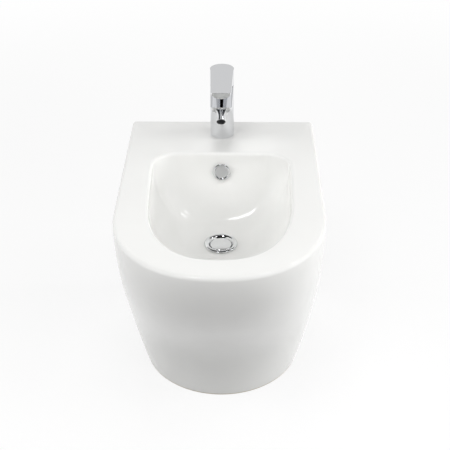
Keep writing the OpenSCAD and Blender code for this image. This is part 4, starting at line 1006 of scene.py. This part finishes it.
class BidetBowl(PropertyGroup):
    width: metres("Width", "Width across the rim", BOWL_HIGH.x - BOWL_LOW.x)
    depth: metres("Depth", "From the wall to the front of the rim", WALL_Y - BOWL_LOW.y)
    height: metres("Height", "Height of the rim above the floor", RIM_Z)
    side_run: metres("Side Run", "Straight length of the rim's sides, from the wall", 0.337)
    front_power: number("Front Power", "Roundness of the front, 2 is an ellipse", 2.21)
    foot_width: metres("Foot Width", "Width of the foot on the floor", 0.304)
    foot_depth: metres("Foot Depth", "Depth of the foot on the floor, from the wall", 0.36)
    foot_run: metres("Foot Run", "Straight length of the foot's sides, from the wall", 0.212)
    foot_power: number("Foot Power", "Roundness of the front of the foot", 1.98)
    front_hang: number("Front Hang", "How late the front wall falls back to the foot", 2.7)
    side_hang: number("Side Hang", "How low the side walls turn in to the foot", 4.5)
    corner: metres("Corner", "Radius of the upright corners at the wall", 0.008)
    rim_edge: metres("Rim Edge", "Radius of the outer edge of the rim", 0.007)
    wall_edge: metres("Wall Edge", "Radius of the top edge along the wall", 0.003)
    china: metres("China", "Thickness of the china walls", 0.01)
    deck: metres("Deck", "Thickness of the deck", 0.011)
    basin_width: metres("Basin Width", "Width of the basin's opening", 0.253)
    basin_back: metres("Basin Back", "From the wall to the basin's opening", 0.134)
    basin_front: metres("Basin Front", "From the wall to the front of the opening", 0.476)
    basin_run: metres("Basin Run", "Straight length of the basin's sides, from the wall", 0.292)
    basin_power: number("Basin Power", "Roundness of the front of the basin", 2.45)
    basin_draw: number("Basin Draw", "How much the sides draw in along the basin", 0.022)
    basin_corner: metres("Basin Corner", "Radius of the back corners of the basin", 0.042)
    basin_edge: metres("Basin Edge", "Radius of the inner edge of the rim", 0.006)
    basin_depth: metres("Basin Depth", "From the rim to the waste's seat", RIM_Z - SEAT_Z)
    basin_full: number("Basin Fullness", "Fullness of the basin's walls", 2.2)
    basin_circle: metres("Basin Circle", "Radius of the circle that it turns into", 0.15)
    round_from: number("Round From", "Share of the width at which the basin turns round", 0.8)
    seat_radius: metres("Seat Radius", "Radius of the flat seat round the waste", 0.033)
    waste_distance: metres("Waste Distance", "From the wall to the waste", WALL_Y - WASTE_Y)
    waste_hole: metres("Waste Hole", "Diameter of the waste hole", 0.046)
    boss_height: metres("Boss Height", "Height of the boss under the waste", 0.028)
    boss_width: metres("Boss Width", "Diameter of the boss under the waste", 0.072)
    tap_hole: metres("Tap Hole", "Diameter of the tap hole", 0.035)
    overflow_hole: metres("Overflow Hole", "Diameter of the overflow hole", 0.022)
    overflow_drop: metres("Overflow Drop", "Depth of the overflow below the rim", 0.037)
    channel: metres("Channel", "Depth of the overflow channel", 0.012)
    channel_width: metres("Channel Width", "Width of the overflow channel", 0.032)
    channel_wall: metres("Channel Wall", "China round the overflow channel", 0.006)
    side_hole: metres("Side Hole", "Diameter of the side fixing holes", 0.0145)
    side_hole_height: metres("Side Hole Height", "Height of the side fixings", 0.036)
    side_hole_distance: metres("Side Hole Distance", "From the wall to the side fixings", 0.13)
    back_opening_width: metres("Back Opening Width", "Width of the opening at the wall", 0.27)
    back_opening_height: metres("Back Opening Height", "Height of the opening at the wall", 0.33)


class BidetFittings(PropertyGroup):
    casting_edge: metres("Casting Edge", "Radius along the castings' edges", 0.0006)
    nozzle_dip: angle("Nozzle Dip", "Nozzle's angle below level", radians(30))
    barrel_length: metres("Barrel Length", "From the ball's centre to the end of the nozzle", 0.027)
    outlet_width: metres("Outlet Width", "Diameter of the outlet disc", 0.013)
    outlet_cover: metres("Outlet Cover", "Diameter of the outlet's collar", 0.0164)
    outlet_depth: metres("Outlet Depth", "Depth of the outlet disc", 0.005)
    jet: metres("Jet", "Radius of a spray jet", 0.0004)
    jet_pitch: metres("Jet Pitch", "Distance between spray jets", 0.0014)
    tail_width: metres("Tail Width", "Diameter of the tail's thread", 0.0419)
    tail_pitch: metres("Tail Pitch", "Pitch of the tail's thread, 11 to the inch", 0.0254 / 11)
    thread_end: metres("Thread End", "From the waste's seat to the thread's end", 0.05)
    stud_pitch: metres("Stud Pitch", "Pitch of the fixing stud's thread", 0.00125)


class BidetFinish(PropertyGroup):
    china: tone("China", "the glaze", "#F4F4F2")
    bisque: tone("Bisque", "the bare foot ring", "#DAD3C6")
    chrome: tone("Chrome", "the plating", "#E4E5E7")
    nickel: tone("Nickel", "the plating under the china", "#B9BAB8")
    brass: tone("Brass", "bare brass", "#C9A25C")
    tarnish: tone("Tarnish", "handled brass", "#97703A")
    steel: tone("Steel", "stainless steel", "#BDBDBC")
    black_steel: tone("Black Steel", "blackened steel", "#1E1E20")
    zinc: tone("Zinc", "zinc plate", "#B4B7B8")
    rubber: tone("Rubber", "the seals", "#161617")
    white_plastic: tone("White Plastic", "the white mouldings", "#E6E6E2")
    dark_plastic: tone("Dark Plastic", "the outlet", "#3A3B3D")
    white_disc: tone("White Disc", "the fixed disc", "#E9E6DE")
    dark_disc: tone("Dark Disc", "the moving disc", "#4A4A4C")


class BidetStage(PropertyGroup):
    camera: bpy.props.FloatVectorProperty(
        name="Camera", description="Place of the camera", subtype="TRANSLATION", unit="LENGTH",
        default=(0.02852, -1.38541, 1.22891))
    lens: number("Lens", "Focal length in millimetres", 73.33)
    yaw: angle("Yaw", "Turn of the camera to the left", 0.01475)
    pitch: angle("Pitch", "Tilt of the camera below level", 0.57807)
    roll: angle("Roll", "Turn about the view", -0.00266)
    floor: tone("Floor", "the light that the floor throws back", "#BCBCBC")
    floor_seen: tone("Floor Seen", "the floor as it is seen", "#F8F8F8")
    shadow: number("Shadow", "Depth of the object's shadow on the floor", 0.22)
    backdrop: number("Backdrop", "Strength of the backdrop that polished faces mirror", 0.93)
    ceiling: number("Ceiling", "Strength of the ceiling that polished faces mirror", 0.03)
    ceiling_lean: angle("Ceiling Lean", "Lean of the dark ceiling to the front", 0.26)
    lamps: number("Lamps", "Share of the lamps' power that is used", 1.0)
    lamp_distance: metres("Lamp Distance", "From the lamps to the object", 2.4)


MAKERS = (BIDET_OT_bowl, BIDET_OT_mixer, BIDET_OT_nozzle, BIDET_OT_waste, BIDET_OT_overflow,
          BIDET_OT_linkage, BIDET_OT_fixings, BIDET_OT_cartridge, BIDET_OT_stage)
SETTINGS = {"bidet_bowl": BidetBowl, "bidet_fittings": BidetFittings, "bidet_finish": BidetFinish,
            "bidet_stage": BidetStage}


class BIDET_PT_panel(Panel):
    """Lists the makers of the bidet's pieces and their settings"""
    bl_idname = "BIDET_PT_panel"
    bl_label = "Bidet"
    bl_space_type = "VIEW_3D"
    bl_region_type = "UI"
    bl_category = "Bidet"

    def draw(self, context):
        for maker in MAKERS:
            self.layout.operator(maker.bl_idname)
        for name in SETTINGS:
            settings = getattr(context.scene, name)
            for key in settings.__annotations__:
                self.layout.prop(settings, key)


CLASSES = (*SETTINGS.values(), *MAKERS, BIDET_PT_panel)


def register():
    for cls in CLASSES:
        bpy.utils.register_class(cls)
    for name, group in SETTINGS.items():
        setattr(bpy.types.Scene, name, bpy.props.PointerProperty(type=group))


def unregister():
    for name in SETTINGS:
        delattr(bpy.types.Scene, name)
    for cls in reversed(CLASSES):
        bpy.utils.unregister_class(cls)


def main():
    register()
    for maker in MAKERS:
        group, name = maker.bl_idname.split(".")
        getattr(getattr(bpy.ops, group), name)()


if __name__ == "__main__":
    main()
